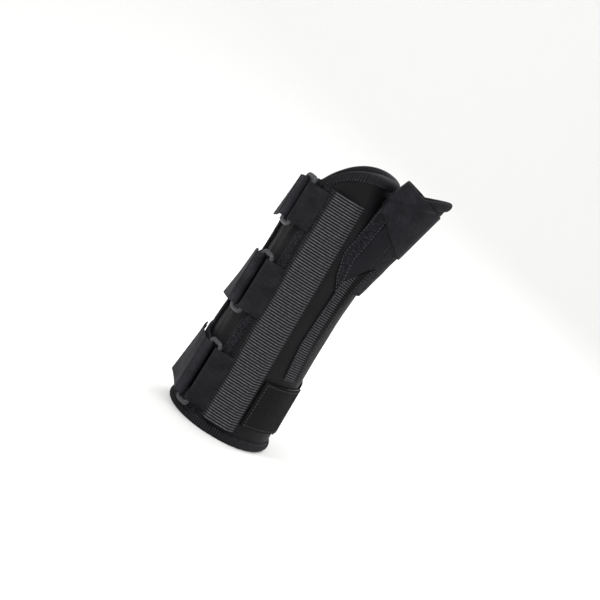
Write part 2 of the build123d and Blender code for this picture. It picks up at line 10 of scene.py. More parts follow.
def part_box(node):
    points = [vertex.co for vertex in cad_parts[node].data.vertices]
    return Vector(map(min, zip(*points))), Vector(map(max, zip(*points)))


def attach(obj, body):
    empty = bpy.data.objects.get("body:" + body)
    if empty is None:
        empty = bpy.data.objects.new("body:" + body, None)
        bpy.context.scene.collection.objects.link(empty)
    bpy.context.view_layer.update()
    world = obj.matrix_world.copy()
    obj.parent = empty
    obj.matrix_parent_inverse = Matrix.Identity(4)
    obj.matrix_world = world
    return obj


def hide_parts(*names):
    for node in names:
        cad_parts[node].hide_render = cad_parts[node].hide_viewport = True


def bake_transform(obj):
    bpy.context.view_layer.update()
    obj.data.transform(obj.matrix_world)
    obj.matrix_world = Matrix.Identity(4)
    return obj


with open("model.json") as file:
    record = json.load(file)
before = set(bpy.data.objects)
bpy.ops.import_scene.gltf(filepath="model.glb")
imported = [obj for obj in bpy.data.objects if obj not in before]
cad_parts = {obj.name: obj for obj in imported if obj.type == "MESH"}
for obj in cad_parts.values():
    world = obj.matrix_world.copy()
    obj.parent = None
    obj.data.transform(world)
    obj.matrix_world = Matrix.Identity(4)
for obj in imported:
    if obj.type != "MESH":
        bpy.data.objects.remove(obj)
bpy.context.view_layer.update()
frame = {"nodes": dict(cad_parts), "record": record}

# ---- Studio ------------------------------------------------------------------
# A white paper sweep under a soft tent of light, as product studios use for black
# textiles. The camera is tilted, so that the forearm runs from lower left to upper right.
MM = 0.001
view_width = 387.0          # mm across the picture, at the near face of the splint
view_centre = (5.2, -40.0, 107.7)
view_elevation = radians(9)
view_roll = radians(32)
lens = 85.0
sensor = 36.0


def linear(colour):
    """Linear RGBA of an sRGB hex colour."""
    parts = [int(colour[i:i + 2], 16) / 255 for i in (0, 2, 4)]
    return [c / 12.92 if c <= 0.04045 else ((c + 0.055) / 1.055) ** 2.4 for c in parts] + [1.0]


def add(tree, kind, inputs=None, **settings):
    """One node with its settings, and its inputs set to values or linked to sockets."""
    node = tree.nodes.new(kind)
    for key, value in settings.items():
        setattr(node, key, value)
    for key, value in (inputs or {}).items():
        if isinstance(value, bpy.types.NodeSocket):
            tree.links.new(value, node.inputs[key])
        else:
            node.inputs[key].default_value = value
    return node


def calc(tree, operation, *values):
    """What a sum on values or sockets comes to."""
    return add(tree, "ShaderNodeMath", dict(enumerate(values)), operation=operation).outputs[0]


def ranged(tree, value, from_low, from_high, to_low=0.0, to_high=1.0):
    """A value carried from one range to another, and held at its ends."""
    return add(tree, "ShaderNodeMapRange", {"Value": value, "From Min": from_low, "From Max": from_high,
                                            "To Min": to_low, "To Max": to_high}).outputs[0]


def noise(tree, place, size, detail=2.0):
    """Noise with patches of a size in mm."""
    return add(tree, "ShaderNodeTexNoise", {"Vector": place, "Scale": 1 / (size * MM),
                                            "Detail": detail}).outputs[0]


def attribute(tree, name, kind):
    """A mesh's named layer, as a node tree reads it."""
    return add(tree, "GeometryNodeInputNamedAttribute", {"Name": name}, data_type=kind).outputs[0]


def blend(tree, factor, dark, light):
    """A node that mixes two sRGB hex colours."""
    return add(tree, "ShaderNodeMix", {0: factor, 6: linear(dark), 7: linear(light)}, data_type="RGBA")


def relief(tree, height, strength, depth, normal=None):
    """A bump node, with its depth in mm, on top of another's normal if one is given."""
    inputs = {"Height": height, "Strength": strength, "Distance": depth * MM}
    return add(tree, "ShaderNodeBump", inputs if normal is None else {**inputs, "Normal": normal})


def new_material(name, gloss=0.12):
    """An empty node material, its tree and its shader. Black yarn traps light, so its gloss is low."""
    material = bpy.data.materials.new(name)
    material.use_nodes = True
    tree = material.node_tree
    tree.nodes.clear()
    shader = add(tree, "ShaderNodeBsdfPrincipled", {"Specular IOR Level": gloss})
    add(tree, "ShaderNodeOutputMaterial", {"Surface": shader.outputs[0]})
    return material, tree, shader


def mesh_piece(name, points, faces, material, smooth=True):
    """A mesh object from points in mm."""
    mesh = bpy.data.meshes.new(name)
    mesh.from_pydata((np.asarray(points) * MM).tolist(), [], np.asarray(faces).tolist())
    mesh.materials.append(material)
    mesh.polygons.foreach_set("use_smooth", [smooth] * len(mesh.polygons))
    piece = bpy.data.objects.new(name, mesh)
    bpy.context.scene.collection.objects.link(piece)
    return piece


paper, tree, shader = new_material("White background paper")
shader.inputs["Base Color"].default_value = linear("f8f8f7")
shader.inputs["Roughness"].default_value = 0.9
sweep_turn = np.linspace(0, pi / 2, 13)
sweep_bend = [(700 + 900 * sin(t), 900 - 900 * cos(t)) for t in sweep_turn]
sweep_line = [(-3000.0, 0.0)] + sweep_bend + [(1600.0, 3200.0)]
sweep_points = [(x, y, z) for x in (-4000.0, 4000.0) for y, z in sweep_line]
count = len(sweep_line)
sweep_faces = [(i, i + count, i + count + 1, i + 1) for i in range(count - 1)]
mesh_piece("paper_sweep", sweep_points, sweep_faces, paper)

world = bpy.data.worlds.new("Light tent")
bpy.context.scene.world = world
world.use_nodes = True
world.node_tree.nodes["Background"].inputs["Color"].default_value = linear("ffffff")
world.node_tree.nodes["Background"].inputs["Strength"].default_value = 0.78
bpy.context.scene.view_settings.view_transform = "Standard"

look = Vector((0, cos(view_elevation), -sin(view_elevation)))
level_up = Vector((0, sin(view_elevation), cos(view_elevation)))
right = Vector((cos(view_roll), 0, 0)) + level_up * sin(view_roll)
up = Vector((-sin(view_roll), 0, 0)) + level_up * cos(view_roll)
distance = view_width * lens / sensor
camera = bpy.data.objects.new("camera", bpy.data.cameras.new("camera"))
camera.data.lens = lens
camera.data.sensor_width = sensor
camera.matrix_world = Matrix.Translation((Vector(view_centre) - look * distance) * MM) @ Matrix(
    (right, up, -look)).transposed().to_4x4()
bpy.context.scene.collection.objects.link(camera)
bpy.context.scene.camera = camera

# name, place (mm), target (mm), size (mm), watts
for lamp_name, place, target, size, power in (
        ("key_softbox", (-700, -650, 900), (0, 0, 110), 600, 9.0),
        ("fill_softbox", (800, -600, 350), (0, 0, 110), 700, 3.0),
        ("back_strip", (300, 650, 700), (0, 0, 130), 500, 5.0)):
    lamp = bpy.data.lights.new(lamp_name, "AREA")
    lamp.shape = "DISK"
    lamp.size = size * MM
    lamp.energy = power
    lamp_object = bpy.data.objects.new(lamp_name, lamp)
    lamp_object.location = Vector(place) * MM
    aim = Vector(target) - Vector(place)
    lamp_object.rotation_euler = aim.to_track_quat("-Z", "Y").to_euler()
    bpy.context.scene.collection.objects.link(lamp_object)

# ---- The worn form -----------------------------------------------------------
# The splint is sewn flat and takes the arm's form when it is worn. The inner faces
# of the lining and of the sleeve give that form: an ellipse at each height of the
# arm, and a circle at each height of the thumb. Growth is the distance out from it.


def walls_of(*names):
    """Faces of some nodes, for rays."""
    points, faces = [], []
    for name in names:
        mesh = frame["nodes"][name].data
        start = len(points)
        points += [v.co / MM for v in mesh.vertices]
        faces += [[start + i for i in p.vertices] for p in mesh.polygons]
    return BVHTree.FromPolygons(points, faces)


def wall_hits(walls, centre, count=90):
    """Points where level rays from a centre first meet the walls."""
    found = []
    for k in range(count):
        turn = 2 * pi * k / count
        hit = walls.ray_cast(Vector(centre), Vector((sin(turn), cos(turn), 0)), 90.0)[0]
        if hit is not None:
            found.append((hit.x, hit.y))
    return np.array(found)


def fit_oval(points, is_round):
    """Centre and half widths of the level oval through the points, outliers dropped."""
    for _ in range(3):
        x, y = points.T
        if is_round:
            solved = np.linalg.lstsq(np.stack([x, y, np.ones_like(x)], 1), x * x + y * y, rcond=None)[0]
            cx, cy = solved[0] / 2, solved[1] / 2
            a = b = np.sqrt(solved[2] + cx * cx + cy * cy)
        else:
            p, q, r, s = np.linalg.lstsq(np.stack([x * x, y * y, x, y], 1), np.ones_like(x), rcond=None)[0]
            cx, cy = -r / (2 * p), -s / (2 * q)
            level = 1 + p * cx * cx + q * cy * cy
            a, b = np.sqrt(level / p), np.sqrt(level / q)
        miss = np.abs(np.sqrt(((x - cx) / a) ** 2 + ((y - cy) / b) ** 2) - 1)
        kept = miss <= max(np.median(miss) * 3, 0.004)
        points = points[kept]
    return cx, cy, a, b


def smooth_rows(heights, rows, spread, low, high):
    """Rows of values by height, carried on past both ends and smoothed."""
    every = np.arange(low, high + 1, 2.0)
    columns = []
    for column in np.asarray(rows).T:
        start = np.polyfit(heights[:5], column[:5], 1)
        end = np.polyfit(heights[-5:], column[-5:], 1)
        values = np.interp(every, heights, column)
        values = np.where(every < heights[0], np.polyval(start, every), values)
        columns.append(np.where(every > heights[-1], np.polyval(end, every), values))
    weights = np.exp(-0.5 * ((every[:, None] - every[None, :]) / spread) ** 2)
    weights /= weights.sum(axis=1, keepdims=True)
    return every, weights @ np.array(columns).T


crown_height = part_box("distal_binding")[1].z / MM
lining = walls_of("inner_liner", "back_tongue")
arm_heights = np.arange(3.0, crown_height - 6, 3.0)
arm_fits = [fit_oval(wall_hits(lining, (0, 0, z)), False) for z in arm_heights]
arm_heights, arm_rows = smooth_rows(arm_heights, arm_fits, 6.0, -20.0, 230.0)

mounts = {m["name"]: m for m in frame["record"]["mounts"]}
thumb_mouth = np.array(mounts["thumb_opening"]["pos_m"]) / MM
thumb_axis = np.array(mounts["thumb_opening"]["axis"])
thumb_axis = thumb_axis / thumb_axis[2]
sleeve_walls = walls_of("thumb_sleeve")
thumb_heights = np.arange(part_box("thumb_gusset")[1].z / MM - 14, thumb_mouth[2] - 6, 3.0)
thumb_fits = [fit_oval(wall_hits(sleeve_walls, thumb_mouth + thumb_axis * (z - thumb_mouth[2])), True)[:3]
              for z in thumb_heights]
thumb_heights, thumb_rows = smooth_rows(thumb_heights, thumb_fits, 6.0, 100.0, 230.0)


def arm_at(height):
    """Centre x, centre y and half widths of the arm at heights."""
    return [np.interp(height, arm_heights, column) for column in arm_rows.T]


def arm_point(angle, height, growth, lift=0.0):
    """Point at an angle from the radial side towards the back of the hand."""
    cx, cy, a, b = arm_at(height)
    cy = cy - lift
    a, b = a + growth, b + growth
    dx, dy = -np.sin(angle), -np.cos(angle)
    square = (dx / a) ** 2 + (dy / b) ** 2
    half = cx * dx / a ** 2 + cy * dy / b ** 2
    rest = (cx / a) ** 2 + (cy / b) ** 2 - 1
    reach = (half + np.sqrt(half ** 2 - square * rest)) / square
    return np.stack(np.broadcast_arrays(reach * dx, reach * dy, height), axis=-1)


def thumb_at(height):
    """Centre x, centre y and radius of the thumb at heights."""
    return [np.interp(height, thumb_heights, column) for column in thumb_rows.T]


def thumb_point(angle, height, growth):
    """Point at an angle round the thumb, from the radial side towards the back."""
    cx, cy, radius = thumb_at(height)
    reach = radius + growth
    x, y = cx - reach * np.sin(angle), cy - reach * np.cos(angle)
    return np.stack(np.broadcast_arrays(x, y, height), axis=-1)


web_softness = 5.0          # the fabric bridges the crease between arm and thumb
sleeve_under_shell = 2.6    # the sleeve's face lies this much less far out than the shell's


def near_point(x, height, growth):
    """Point on the radial side of arm and thumb together, growth as on the arm."""
    cx, cy, a, b = arm_at(height)
    arm_depth = (b + growth) * np.sqrt(np.clip(1 - ((x - cx) / (a + growth)) ** 2, 0, 1)) - cy
    arm_depth = np.where(np.abs(x - cx) < a + growth, arm_depth, -40.0)
    tx, ty, radius = thumb_at(height)
    radius = radius + growth - sleeve_under_shell
    across = np.clip(1 - ((x - tx) / radius) ** 2, 0, 1)
    thumb_depth = np.where(across > 0, radius * np.sqrt(across) - ty, -40.0)
    share = np.clip(0.5 + 0.5 * (arm_depth - thumb_depth) / web_softness, 0, 1)
    depth = thumb_depth * (1 - share) + arm_depth * share + web_softness * share * (1 - share)
    return np.stack(np.broadcast_arrays(x, -depth, height), axis=-1)


# ---- Outer shell -------------------------------------------------------------
# The body of the splint: smooth nylon knit laminated to 2.4 mm foam, cut as one panel,
# wrapped round forearm and hand, and left open on the back of the hand.
shell_low = 2.4
shell_high = 4.8
edge_from = radians(21)     # the sewn edge tapes take the shell's place from here
edge_to = radians(86)
tape_angle = radians(10)
rim_radius = 41.0
rim_centre_x = 14.0
back_drop = 28.0
edge_gap = 0.8              # the panels stop this far short of the rims, under the bindings
lining_gap = 0.9


def rim_height(x):
    """Height of the hand rim in side view: an arc, and level along the back of the hand."""
    arc = crown_height - rim_radius + np.sqrt(np.clip(rim_radius ** 2 - (x - rim_centre_x) ** 2, 0, None))
    level = crown_height - back_drop
    share = np.clip(0.5 + (arc - level) / 8, 0, 1)
    return level * (1 - share) + arc * share + 4 * share * (1 - share)


def rim_at(angle, growth=shell_high):
    """Height of the hand rim at angles round the arm."""
    height = np.full_like(angle, crown_height - 10)
    for _ in range(40):
        height = 0.6 * height + 0.4 * rim_height(arm_point(angle, height, growth)[..., 0])
    return height


def shares(count, lip=0.02):
    """Steps from 0 to 1, with two close to each end, so that an edge can be rounded."""
    return np.concatenate([[0, 0.35 * lip], np.linspace(lip, 1 - lip, count), [1 - 0.35 * lip, 1]])


def rounding(u, v, edge_u, edge_v):
    """1 over a sheet, falling to 0 at its edges along a quarter circle, edge being a share of the way."""
    gap = np.minimum(np.minimum(u, 1 - u) / edge_u, np.minimum(v, 1 - v) / edge_v)
    return np.sqrt(1 - (1 - np.clip(gap, 0, 1)) ** 2)


def closed_sheet(name, outer, inner, material, keep=None, around=False):
    """Closed piece between two grids of points. Its UV map is the flat cut, in metres."""
    rows, columns = outer.shape[:2]
    wide = np.concatenate([outer, outer[:1]]) if around else outer
    along = np.zeros(wide.shape[:2])
    across = np.zeros(wide.shape[:2])
    along[1:] = np.cumsum(np.linalg.norm(np.diff(wide, axis=0), axis=2), axis=0)
    across[:, 1:] = np.cumsum(np.linalg.norm(np.diff(wide, axis=1), axis=2), axis=1)
    i, j = np.meshgrid(np.arange(len(wide) - 1), np.arange(columns - 1), indexing="ij")
    corners = (np.stack([i, i + 1, i + 1, i], -1).reshape(-1, 4),
               np.stack([j, j, j + 1, j + 1], -1).reshape(-1, 4))
    if keep is not None:
        middle = wide[corners[0], corners[1]].mean(axis=1)
        kept = keep(middle)
        corners = corners[0][kept], corners[1][kept]
    count = rows * columns
    quads = (corners[0] % rows) * columns + corners[1]
    flat = np.stack([along[corners], across[corners]], -1)
    edges = np.concatenate([quads[:, [k, (k + 1) % 4]] for k in range(4)])
    edge_flat = np.concatenate([flat[:, [k, (k + 1) % 4]] for k in range(4)])
    _, first, uses = np.unique(np.sort(edges, axis=1), axis=0, return_index=True, return_counts=True)
    rim = first[uses == 1]
    sides = np.stack([edges[rim, 1], edges[rim, 0], edges[rim, 0] + count, edges[rim, 1] + count], 1)
    side_flat = edge_flat[rim][:, [1, 0, 0, 1]]
    faces = np.concatenate([quads, quads[:, ::-1] + count, sides])
    corner_flat = np.concatenate([flat, flat[:, ::-1], side_flat]) * MM
    points = np.concatenate([outer.reshape(-1, 3), inner.reshape(-1, 3)])
    faces, corner_flat = outward(points, faces, corner_flat)
    used = np.unique(faces)
    new_index = np.zeros(len(points), int)
    new_index[used] = np.arange(len(used))
    piece = mesh_piece(name, points[used], new_index[faces], material)
    piece.data.uv_layers.new(name="cut").data.foreach_set("uv", corner_flat.reshape(-1))
    face_side = piece.data.attributes.new("face_side", "FLOAT", "POINT")
    face_side.data.foreach_set("value", (used < count).astype(np.float32))
    return piece


def outward(points, faces, corner_flat):
    """The faces turned so that the closed piece has a positive volume."""
    a, b, c, d = (points[faces[:, k]] for k in range(4))
    volume = (np.einsum("ij,ij->i", a, np.cross(b, c)) + np.einsum("ij,ij->i", a, np.cross(c, d))).sum()
    return (faces, corner_flat) if volume > 0 else (faces[:, ::-1], corner_flat[:, ::-1])


def laid(name, place, us, vs, low, high, material, keep=None, around=False):
    """Closed piece on the form: place(u, v, growth) at grid steps us and vs, from low to high."""
    u, v = np.meshgrid(us, vs, indexing="ij")
    low = low(u, v) if callable(low) else low
    high = high(u, v) if callable(high) else high
    return closed_sheet(name, place(u, v, high), place(u, v, low), material, keep, around)


def creases(angle, height, size):
    """Gentle, uneven waves of worn fabric, made of a few fixed sines."""
    return size * (np.sin(3.1 * angle + 0.061 * height) + np.sin(7.3 * angle - 0.043 * height + 1.3)
                   + 0.6 * np.sin(0.19 * height + 2.2 * angle)) / 2.6


thumb_root_foot = 128.0     # the shell is whole below this height


def outside_thumb(points, gap):
    """Which points lie outside the thumb's bore, or on the far side of the arm from it."""
    cx, cy, radius = thumb_at(points[:, 2])
    apart = np.hypot(points[:, 0] - cx, points[:, 1] - cy) > radius + gap
    return apart | (points[:, 2] < thumb_root_foot)


def dress(tree, shader, colours, bump, roughness, sheen):
    """Joins a cloth's colours and relief to its shader, with its roughness and sheen."""
    tree.links.new(colours.outputs[2], shader.inputs["Base Color"])
    tree.links.new(bump.outputs[0], shader.inputs["Normal"])
    shader.inputs["Roughness"].default_value = roughness
    shader.inputs["Sheen Weight"].default_value = sheen


def laminate_material():
    """Nylon knit on foam: matt, near black, with fine loops and soft creases."""
    material, tree, shader = new_material("Nylon knit laminate")
    place = add(tree, "ShaderNodeTexCoord").outputs["Object"]
    # loops are 0.6 mm apart, drawn at 1.1 mm so that they show
    loops = add(tree, "ShaderNodeTexVoronoi", {"Vector": place, "Scale": 1 / (1.1 * MM)})
    mottle = add(tree, "ShaderNodeTexNoise", {"Vector": place, "Scale": 1 / (14 * MM), "Detail": 3.0})
    stretched = add(tree, "ShaderNodeMapping", {"Vector": place, "Scale": (1 / (5 * MM), 1 / (5 * MM),
                                                                           1 / (26 * MM))})
    folds = add(tree, "ShaderNodeTexNoise", {"Vector": stretched.outputs[0], "Scale": 1.0, "Detail": 2.0})
    colours = blend(tree, mottle.outputs["Fac"], "070708", "131316")
    fold_bump = relief(tree, folds.outputs["Fac"], 0.5, 0.9)
    bump = relief(tree, loops.outputs["Distance"], 0.35, 0.25, fold_bump.outputs[0])
    dress(tree, shader, colours, bump, 0.62, 0.01)
    return material


laminate = laminate_material()
shell_span = edge_to - edge_from - 2 * pi
stay_end_height = 150.0     # the shell stands out a little over the palmar stay's bend
stay_end_spread = 10.0
stay_end_swell = 1.4
shell_u = shares(200, 0.004)
shell_v = shares(130, 0.008)


def shell_place(u, v, growth):
    """Point of the shell: u runs from the front edge round the palm to the back edge, v runs up."""
    angle = edge_from + shell_span * u
    top = rim_at(angle[:, 0])[:, None] - edge_gap
    height = edge_gap + (top - edge_gap) * v
    sides = np.clip((np.abs(np.sin(angle / 2)) - 0.5) * 3, 0, 1)
    slack = np.where(growth > shell_low + 0.1, creases(angle, height, 0.5) * sides, 0)
    bend = np.exp(-((height - stay_end_height) / stay_end_spread) ** 2)
    over_stay = stay_end_swell * bend * np.clip(-np.sin(angle), 0, 1) * (growth > 3.5)
    return arm_point(angle, height, growth + slack + over_stay)


shell = laid("outer_shell_laminate", shell_place, shell_u, shell_v, shell_low, shell_high, laminate,
             keep=lambda points: outside_thumb(points, 0.6))
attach(shell, "splint_body")
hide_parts("outer_shell")

# ---- Lining and tongue -------------------------------------------------------
# The lining is brushed terry on foam, glued inside the shell and turned out at the
# rims. The tongue is the same foam in the shell's knit, sewn in under the opening.
tongue_from = radians(20)
tongue_to = radians(87)


def terry_material():
    """Brushed terry: soft dark loops, 1 mm apart."""
    material, tree, shader = new_material("Brushed terry lining")
    place = add(tree, "ShaderNodeTexCoord").outputs["Object"]
    loops = add(tree, "ShaderNodeTexVoronoi", {"Vector": place, "Scale": 1 / (1.3 * MM)})
    nap = add(tree, "ShaderNodeTexNoise", {"Vector": place, "Scale": 1 / (6 * MM), "Detail": 4.0})
    colours = blend(tree, nap.outputs["Fac"], "121215", "26262b")
    bump = relief(tree, loops.outputs["Distance"], 0.7, 0.5)
    dress(tree, shader, colours, bump, 0.95, 0.04)
    shader.inputs["Sheen Roughness"].default_value = 0.5
    return material


terry = terry_material()
lining_span = tongue_to - tongue_from - 2 * pi


def lining_place(u, v, growth):
    """Point of the lining, which lies inside the shell."""
    angle = tongue_from + lining_span * u
    top = rim_at(angle[:, 0], 0.0)[:, None] - lining_gap
    return arm_point(angle, edge_gap + (top - edge_gap) * v, growth)


lining_piece = laid("inner_liner_terry", lining_place, shares(170, 0.004), shares(110, 0.008),
                    0.0, 2.38, terry, keep=lambda points: outside_thumb(points, 0.6))
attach(lining_piece, "splint_body")
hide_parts("inner_liner")


def tongue_place(u, v, growth):
    """Point of the tongue, which swells a little between its edges."""
    angle = tongue_from + (tongue_to - tongue_from) * u
    top = rim_at(angle[:, 0], 0.0)[:, None] - lining_gap
    height = edge_gap + (top - edge_gap) * v
    swell = np.where(growth > 1, 0.9 * np.sin(pi * u) ** 0.7 + creases(3 * angle, 1.6 * height, 0.35), 0)
    return arm_point(angle, height, growth + swell)


tongue = laid("back_tongue_pad", tongue_place, shares(60), shares(130, 0.008), 0.0, 2.3, laminate)
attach(tongue, "splint_body")
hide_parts("back_tongue")

# ---- Ribs and edge tapes -----------------------------------------------------
# Knitted tapes finish every cut edge. Their cross ribs, and those of the webbing, are
# raised by one node tree, which follows the flat cut of the piece that it is put on.


def sized_tree(name, *sizes):
    """A new node tree with a geometry, its named sizes and a material going in."""
    tree = bpy.data.node_groups.new(name, "GeometryNodeTree")
    tree.interface.new_socket("Geometry", in_out="INPUT", socket_type="NodeSocketGeometry")
    for size in sizes:
        tree.interface.new_socket(size, in_out="INPUT", socket_type="NodeSocketFloat")
    tree.interface.new_socket("Material", in_out="INPUT", socket_type="NodeSocketMaterial")
    tree.interface.new_socket("Geometry", in_out="OUTPUT", socket_type="NodeSocketGeometry")
    return tree, add(tree, "NodeGroupInput").outputs


def ended(tree, group, made):
    """The tree, ended by making what it placed real and giving it the material."""
    real = add(tree, "GeometryNodeRealizeInstances", {0: made}).outputs[0]
    painted = add(tree, "GeometryNodeSetMaterial", {"Geometry": real, "Material": group["Material"]})
    add(tree, "NodeGroupOutput", {0: painted.outputs[0]})
    return tree


def ribs_tree():
    """Raises ribs across a piece's run, from its flat cut, on the outer face alone."""
    tree, group = sized_tree("Woven ribs", "Rib pitch", "Rib height", "Wander", "Turned")
    cut = add(tree, "GeometryNodeInputNamedAttribute", {"Name": "cut"}, data_type="FLOAT_VECTOR")
    flat = add(tree, "ShaderNodeSeparateXYZ", {0: cut.outputs[0]}).outputs
    run = add(tree, "ShaderNodeMix", {0: group["Turned"], 2: flat[1], 3: flat[0]}).outputs[0]
    noise = add(tree, "ShaderNodeTexNoise", {"Scale": 1 / (2.5 * MM), "Detail": 1.0}).outputs[0]
    wander = calc(tree, "MULTIPLY", noise, group["Wander"])
    place = calc(tree, "ADD", run, wander)
    turns = calc(tree, "DIVIDE", place, group["Rib pitch"])
    share = calc(tree, "FRACT", turns)
    half = calc(tree, "MULTIPLY", share, pi)
    crest = calc(tree, "SINE", half)
    outer = attribute(tree, "face_side", "FLOAT")
    raised = calc(tree, "MULTIPLY", crest, outer)
    height = calc(tree, "MULTIPLY", raised, group["Rib height"])
    normal = add(tree, "GeometryNodeInputNormal").outputs[0]
    offset = add(tree, "ShaderNodeVectorMath", {0: normal, 3: height}, operation="SCALE").outputs[0]
    moved = add(tree, "GeometryNodeSetPosition", {"Geometry": group["Geometry"],
                                                  "Offset": offset}).outputs[0]
    return ended(tree, group, moved)


def grown(piece, tree, material, **values):
    """The piece as a node tree leaves it, made a plain mesh, with the modifier removed."""
    modifier = piece.modifiers.new(tree.name, "NODES")
    modifier.node_group = tree
    values["Material"] = material
    for socket in tree.interface.items_tree:
        if socket.in_out == "INPUT" and socket.name.replace(" ", "_") in values:
            modifier[socket.identifier] = values[socket.name.replace(" ", "_")]
    graph = bpy.context.evaluated_depsgraph_get()
    mesh = bpy.data.meshes.new_from_object(piece.evaluated_get(graph))
    piece.modifiers.remove(modifier)
    piece.data = mesh
    piece.data.polygons.foreach_set("use_smooth", [True] * len(mesh.polygons))
    return piece


woven_ribs = ribs_tree()


def ribbed_material(name, pitch, turned, yarn_and_groove_shade, crest, fleck, roughness, width=0.0, border=0.0):
    """Ribbed textile: black yarn with painted shade between the ribs and a painted highlight on their
    crests, broken up by single yarns.
    Where a width is given, the painted crest highlight fades out over a dark looped border at both its
    edges."""
    material, tree, shader = new_material(name)
    cut = add(tree, "ShaderNodeUVMap", uv_map="cut").outputs[0]
    place = add(tree, "ShaderNodeTexCoord").outputs["Object"]
    flat = add(tree, "ShaderNodeSeparateXYZ", {0: cut}).outputs
    run = flat[0 if turned else 1]
    # The rib wave below paints a highlight along each crest and shade in each groove, in step with the
    # raised ribs.
    turns = calc(tree, "DIVIDE", run, pitch * MM)
    share = calc(tree, "FRACT", turns)
    half = calc(tree, "MULTIPLY", share, pi)
    rib = calc(tree, "SINE", half)
    painted_crest_highlight = calc(tree, "POWER", rib, 4.5)
    yarn = noise(tree, place, fleck, 2.0)
    patchy = ranged(tree, yarn, 0.35, 0.65, 0.55, 1.0)
    factor = calc(tree, "MULTIPLY", painted_crest_highlight, patchy)
    if width:
        off = calc(tree, "ADD", flat[0], -width / 2 * MM)
        jagged = calc(tree, "MULTIPLY", yarn, 1.6 * MM)
        side = calc(tree, "ABSOLUTE", off)
        reach = calc(tree, "ADD", side, jagged)
        inside = ranged(tree, reach, (width / 2 + 0.8) * MM, (width / 2 + 0.8 - border) * MM, 0.12, 1.0)
        factor = calc(tree, "MULTIPLY", factor, inside)
    # The crest colour is a painted highlight; the groove colour is the black yarn with painted shade.
    colours = blend(tree, factor, yarn_and_groove_shade, crest)
    bump = relief(tree, yarn, 0.5, 0.3)
    dress(tree, shader, colours, bump, roughness, 0.02)
    return material


tape_pitch = 1.7


def loop_material():
    """Napped loop fabric: light flecks on violet black."""
    material, tree, shader = new_material("Napped loop fabric")
    place = add(tree, "ShaderNodeTexCoord").outputs["Object"]
    flecks = add(tree, "ShaderNodeTexVoronoi", {"Vector": place,
                                                "Scale": 1 / (0.7 * MM)}).outputs["Distance"]
    spread = ranged(tree, flecks, 0.05, 0.5)
    colours = blend(tree, spread, "3f3d45", "0b0a0d")
    bump = relief(tree, flecks, 0.8, -0.5)
    dress(tree, shader, colours, bump, 0.9, 0.03)
    return material


loop_fabric = loop_material()
# The darker colour is the black yarn with painted shade between the ribs; the lighter is a painted
# highlight on their crests.
binding_tape = ribbed_material("Knitted elastic binding", tape_pitch, True, "060607", "2f2f34", 0.9, 0.8)


def edge_tape_place(start, turn):
    """A place function for a tape on an edge of the opening."""
    def place(u, v, growth):
        angle = start + turn * u
        top = rim_at(angle[:, 0])[:, None] - edge_gap
        return arm_point(angle, edge_gap + (top - edge_gap) * v, growth)
    return place


for tape_name, start in (("front_edge_binding", edge_from), ("back_edge_binding", edge_to - tape_angle)):
    tape = laid(tape_name + "_tape", edge_tape_place(start - 0.01, tape_angle + 0.02), shares(12, 0.06),
                shares(620, 0.003), lambda u, v: 2.2 + 0 * u,
                lambda u, v: 4.3 + 0.9 * rounding(u, v, 0.25, 0.005),
                loop_fabric)
    grown(tape, woven_ribs, loop_fabric, Rib_pitch=tape_pitch * MM, Rib_height=0.3 * MM,
          Wander=1.4 * MM, Turned=0.0)
    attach(tape, "splint_body")
    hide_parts(tape_name)

# ---- Rim bindings ------------------------------------------------------------
# Elastic binding folded over both rims and stitched through. The foam inside makes it
# roll: it stands proud outside, turns over the rim and shows again inside.
# drop from the rim and growth of the rolled section, outer face first
rolled_section = [(6.6, 4.7), (6.3, 5.5), (5.2, 6.1), (3.6, 6.5), (2.0, 6.3), (0.8, 5.6), (0.1, 4.4),
                  (-0.2, 2.6), (0.1, 0.8), (0.8, -0.4), (2.2, -1.0), (4.2, -1.0), (5.8, -0.8),
                  (6.5, -0.1), (5.2, 1.2), (4.6, 3.4)]


def rolled(name, around, place, material, section=rolled_section):
    """A binding: the section carried round a rim. place(turn, drop, growth) gives points."""
    ring = np.array(section)
    ring = np.concatenate([ring, ring[:1]])
    fine = np.linspace(0, len(section), 4 * len(section) + 1)[:-1]
    drop, growth = (np.interp(fine, np.arange(len(ring)), ring[:, k]) for k in (0, 1))
    turns = np.linspace(0, 2 * pi, around + 1)[:-1]
    t, d = np.meshgrid(turns, drop, indexing="ij")
    _, g = np.meshgrid(turns, growth, indexing="ij")
    points = place(t, d, g)
    rows, columns = points.shape[:2]
    i, j = np.meshgrid(np.arange(rows), np.arange(columns), indexing="ij")
    i, j = i.reshape(-1), j.reshape(-1)
    corner = np.stack([i, i + 1, i + 1, i], -1), np.stack([j, j, j + 1, j + 1], -1)
    faces = (corner[0] % rows) * columns + corner[1] % columns
    length = np.linalg.norm(np.diff(points[:, 0], axis=0), axis=1)
    along = np.concatenate([[0], np.cumsum(length), [length.sum() + length.mean()]])
    flat = np.stack([along[corner[0]], corner[1] * 0.5], -1) * MM
    faces, flat = outward(points.reshape(-1, 3), faces, flat)
    piece = mesh_piece(name, points.reshape(-1, 3), faces, material)
    piece.data.uv_layers.new(name="cut").data.foreach_set("uv", flat.reshape(-1))
    side = piece.data.attributes.new("face_side", "FLOAT", "POINT")
    side.data.foreach_set("value", np.ones(rows * columns, np.float32))
    grown(piece, woven_ribs, material, Rib_pitch=tape_pitch * MM, Rib_height=0.38 * MM,
          Wander=0.9 * MM, Turned=1.0)
    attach(piece, "splint_body")
    return piece


stay_low, stay_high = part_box("radial_stay")
slot_gap = 0.35             # between the stay and the cloth on either face
slot_far = stay_high.y / MM + slot_gap
slot_half = 7.6
pocket_lean = tan(radians(1.5))
pocket_foot_x = 2.0


def proximal_place(turn, drop, growth):
    return arm_point(turn, drop + 0 * turn, growth + creases(turn, 40 * turn, 0.25))


